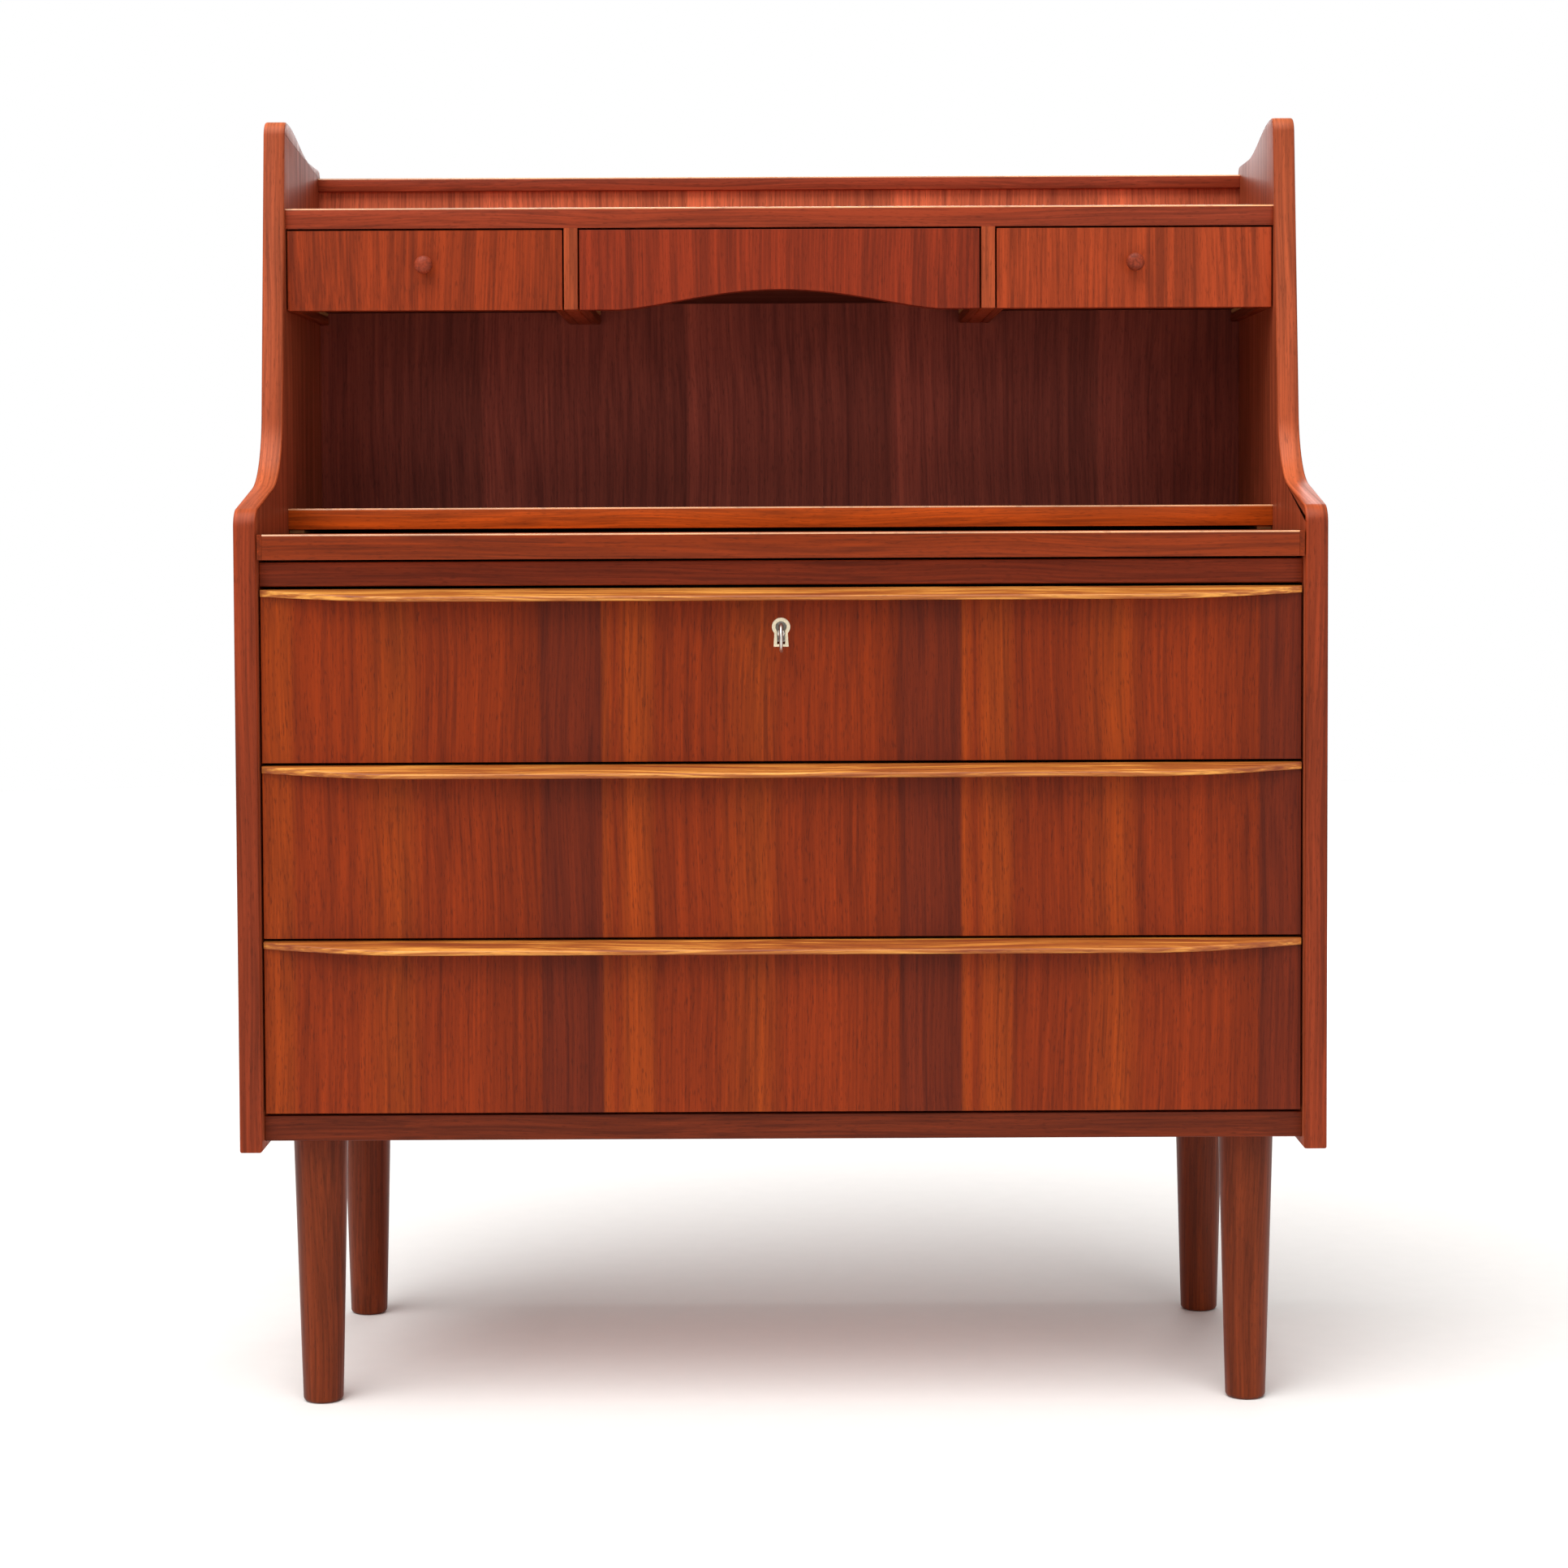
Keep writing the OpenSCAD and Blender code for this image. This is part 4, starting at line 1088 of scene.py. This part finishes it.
class DESK_OT_key(bpy.types.Operator):
    """Key with a flattened ring bow, a collar and a filed bit, hanging slack"""

    bl_idname = "desk.key"
    bl_label = "Key"

    def execute(self, context):
        joint = next(j for j in frame["joints"] if j["child"] == "key")
        pivot = Vector(joint["pos_m"])
        reach, bow_r, wire, shaft_r = 35 * MM, 11 * MM, 1.98 * MM, 2.1 * MM
        stem = reach - bow_r
        profile = [
            (shaft_r - 0.5 * MM, -1.2 * MM),
            (shaft_r, -0.7 * MM),
            (shaft_r, stem - 5.4 * MM),
            (shaft_r + 0.9 * MM, stem - 4.9 * MM),
            (shaft_r + MM, stem - 4.3 * MM),
            (shaft_r + MM, stem - 2.7 * MM),
            (shaft_r + 0.9 * MM, stem - 2.1 * MM),
            (shaft_r, stem - 1.6 * MM),
            (shaft_r * 0.9, stem + 1.0 * MM),
        ]
        shaft = turned("key_shaped", profile, 32)
        settle(shaft, Matrix.Rotation(math.pi / 2, 4, "X"))
        bpy.ops.object.select_all(action="DESELECT")
        bpy.ops.mesh.primitive_torus_add(
            major_radius=bow_r,
            minor_radius=wire,
            major_segments=48,
            minor_segments=16,
            location=(0, -reach, 0),
            rotation=(0, math.pi / 2, 0),
        )
        bow = context_object("key_bow")
        settle(bow, Matrix.Diagonal((0.8, 1.0, 1.0, 1.0)))
        bpy.ops.object.select_all(action="DESELECT")
        bpy.ops.mesh.primitive_cube_add(size=1.0, location=(0, -0.6 * MM, -4 * MM))
        bit = bpy.context.object
        bit.scale = (1.8 * MM, 3.6 * MM, 6 * MM)
        context_object("key_bit")
        cut(bit, (-2 * MM, -1.1 * MM, -5.2 * MM), (2 * MM, -0.3 * MM, -7.5 * MM))
        activate(shaft, bow, bit)
        bpy.ops.object.join()
        piece = bpy.context.object
        droop = Matrix.Rotation(math.radians(15), 4, "X")
        settle(piece, Matrix.Translation(pivot) @ droop)
        dress(piece, ("nickel_plated",))
        install(piece, "key", "nickel_plated")
        return {"FINISHED"}


class DESK_OT_screws(bpy.types.Operator):
    """Slotted countersunk screws, one for each screw of the CAD"""

    bl_idname = "desk.screws"
    bl_label = "Screws"

    def execute(self, context):
        for node in ("carcass_screws", "lock_screws"):
            made, patterns = [], {}
            source = merged_copy(node, "places")
            mesh = bmesh.new()
            mesh.from_mesh(source.data)
            for low, high in [box_of(part) for part in islands(mesh)]:
                spans = [high[i] - low[i] for i in range(3)]
                axis = spans.index(max(spans))
                tall, wide = spans[axis], spans[(axis + 1) % 3]
                key = (round(tall, 5), round(wide, 5))
                if key not in patterns:
                    patterns[key] = self.screw(tall, wide / 2)
                copy = patterns[key].copy()
                copy.data = patterns[key].data.copy()
                bpy.context.scene.collection.objects.link(copy)
                head = [(low[i] + high[i]) / 2 for i in range(3)]
                if axis == 0:
                    head[0] = low[0] if head[0] > 0 else high[0]
                    turn = Matrix.Rotation(math.copysign(math.pi / 2, -head[0]), 4, "Y")
                elif axis == 1:
                    head[1] = high[1]
                    turn = Matrix.Rotation(-math.pi / 2, 4, "X")
                else:
                    head[2] = low[2]
                    turn = Matrix.Rotation(math.pi, 4, "X")
                # Each slot stopped where its screw came tight
                tight = Matrix.Rotation((head[0] * 37 + head[2] * 53) % math.pi, 4, "Z")
                settle(copy, Matrix.Translation(head) @ turn @ tight)
                made.append(copy)
            mesh.free()
            for used in (source, *patterns.values()):
                bpy.data.objects.remove(used)
            activate(*made)
            bpy.ops.object.join()
            piece = bpy.context.object
            piece.name = f"{node}_slotted"
            dress(piece, ("brass_lacquered",))
            install(piece, node, "brass_lacquered")
        return {"FINISHED"}

    def screw(self, tall, head_r):
        """One screw with its head's face at the origin."""
        r = head_r * 0.5
        profile = [
            (r * 0.2, -tall),
            (r, -tall + 2.2 * r),
            (r, -(head_r - r)),
            (head_r, -0.15 * MM),
            (head_r - 0.15 * MM, 0.0),
        ]
        piece = turned("screw_pattern", profile, 24)
        half = sizes().screw_slot / 2
        cut(piece, (-head_r * 1.2, -half, -head_r * 0.32), (head_r * 1.2, half, MM))
        return piece


class DESK_OT_fixings(bpy.types.Operator):
    """Dowels, leg studs and inserts, which stay as the CAD made them"""

    bl_idname = "desk.fixings"
    bl_label = "Hidden fixings"

    def execute(self, context):
        dress(NODES["carcass_dowels"], ("beech_planed_across",))
        dress(NODES["leg_fixings"], ("steel_zinc_plated",))
        return {"FINISHED"}


class DESK_OT_stage(bpy.types.Operator):
    """Pale floor, soft studio light and the camera"""

    bl_idname = "desk.stage"
    bl_label = "Stage"

    def execute(self, context):
        bpy.ops.object.select_all(action="DESELECT")
        bpy.ops.mesh.primitive_circle_add(
            vertices=96, radius=sizes().floor_radius, fill_type="NGON", location=(0, 0, 0)
        )
        floor = context_object("studio_floor")
        floor.data.materials.append(floor_paper("studio_paper_matt"))
        self.world()
        # A wide, even light from above and a little to the front left
        bpy.ops.object.light_add(type="SUN", rotation=self.aim((-0.5, -1.0, 2.1), (0, 0, 0)))
        sky = bpy.context.object
        sky.name = "light_above"
        sky.data.energy = 3.3  # W per square metre
        sky.data.angle = math.radians(60)
        # Name, place, point it faces, width, height, watts
        for name, place, target, wide, tall, watts in (
            ("softbox_front_left", (-1.7, -3.6, 2.2), (0.0, -0.1, 0.6), 1.8, 1.4, 14.0),
            ("softbox_front_right", (2.0, -3.4, 1.6), (0.0, -0.1, 0.6), 1.6, 1.4, 14.0),
            ("softbox_behind", (0.4, 3.2, 2.2), (0.0, 0.1, 0.6), 2.2, 1.4, 35.0),
        ):
            bpy.ops.object.light_add(type="AREA", location=place, rotation=self.aim(place, target))
            lamp = bpy.context.object
            lamp.name = name
            lamp.data.shape = "RECTANGLE"
            lamp.data.size = wide
            lamp.data.size_y = tall
            lamp.data.energy = watts
        self.camera()
        scene = bpy.context.scene
        scene.view_settings.view_transform = "Standard"
        scene.view_settings.look = "None"
        return {"FINISHED"}

    def aim(self, place, target):
        """The turn that faces a lamp from its place to its target."""
        return (Vector(target) - Vector(place)).to_track_quat("-Z", "Y").to_euler()

    def world(self):
        """White behind the desk, and a dim even fill from all round."""
        world = bpy.data.worlds.new("studio_white")
        bpy.context.scene.world = world
        world.use_nodes = True
        tree = world.node_tree
        tree.nodes.clear()
        path = add(tree, "LightPath")
        seen = add(tree, "Background", {"Color": (1, 1, 1, 1), "Strength": 1.0})
        fill = add(tree, "Background", {"Color": (1, 1, 1, 1), "Strength": 0.32})
        pick = add(
            tree,
            "MixShader",
            {0: path.outputs["Is Camera Ray"], 1: fill.outputs[0], 2: seen.outputs[0]},
        )
        add(tree, "OutputWorld", {"Surface": pick.outputs[0]})

    def camera(self):
        """Eye level at the writing slide, straight ahead of the desk."""
        down, roll = math.radians(2.3915), math.radians(-0.25)
        distance, eye = 2.8731, 0.7919
        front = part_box("gable_left")[0].y
        bpy.ops.object.camera_add(location=(0.0, front - distance, eye))
        camera = bpy.context.object
        camera.name = "desk_camera"
        turn = Matrix.Rotation(math.pi / 2 - down, 4, "X") @ Matrix.Rotation(roll, 4, "Z")
        camera.rotation_euler = turn.to_euler()
        camera.data.sensor_width = 36.0
        camera.data.lens = 75.26
        camera.data.shift_x = 0.0018
        camera.data.shift_y = -0.08
        bpy.context.scene.camera = camera


OPERATORS = (
    DESK_OT_gables,
    DESK_OT_carcass,
    DESK_OT_slide,
    DESK_OT_long_fronts,
    DESK_OT_lips,
    DESK_OT_small_fronts,
    DESK_OT_knobs,
    DESK_OT_drawer_boxes,
    DESK_OT_runners,
    DESK_OT_legs,
    DESK_OT_lock,
    DESK_OT_key,
    DESK_OT_screws,
    DESK_OT_fixings,
    DESK_OT_stage,
)


class DESK_PT_panel(bpy.types.Panel):
    """The desk's pieces, sizes and colours"""

    bl_idname = "DESK_PT_panel"
    bl_label = "Secretary desk"
    bl_space_type = "VIEW_3D"
    bl_region_type = "UI"
    bl_category = "Desk"

    def draw(self, context):
        for group in (context.scene.desk_sizes, context.scene.desk_colours):
            column = self.layout.column(align=True)
            for name in group.__annotations__:
                column.prop(group, name)
        column = self.layout.column(align=True)
        for operator in OPERATORS:
            column.operator(operator.bl_idname)


CLASSES = (DeskSizes, DeskColours, *OPERATORS, DESK_PT_panel)


def register():
    """Adds the desk's classes and its two groups of settings."""
    for each in CLASSES:
        bpy.utils.register_class(each)
    bpy.types.Scene.desk_sizes = bpy.props.PointerProperty(type=DeskSizes)
    bpy.types.Scene.desk_colours = bpy.props.PointerProperty(type=DeskColours)


def unregister():
    """Takes them out again."""
    del bpy.types.Scene.desk_sizes
    del bpy.types.Scene.desk_colours
    for each in reversed(CLASSES):
        bpy.utils.unregister_class(each)


def main():
    """Makes every piece in order."""
    register()
    for operator in OPERATORS:
        group, name = operator.bl_idname.split(".")
        getattr(getattr(bpy.ops, group), name)()


if __name__ == "__main__":
    main()
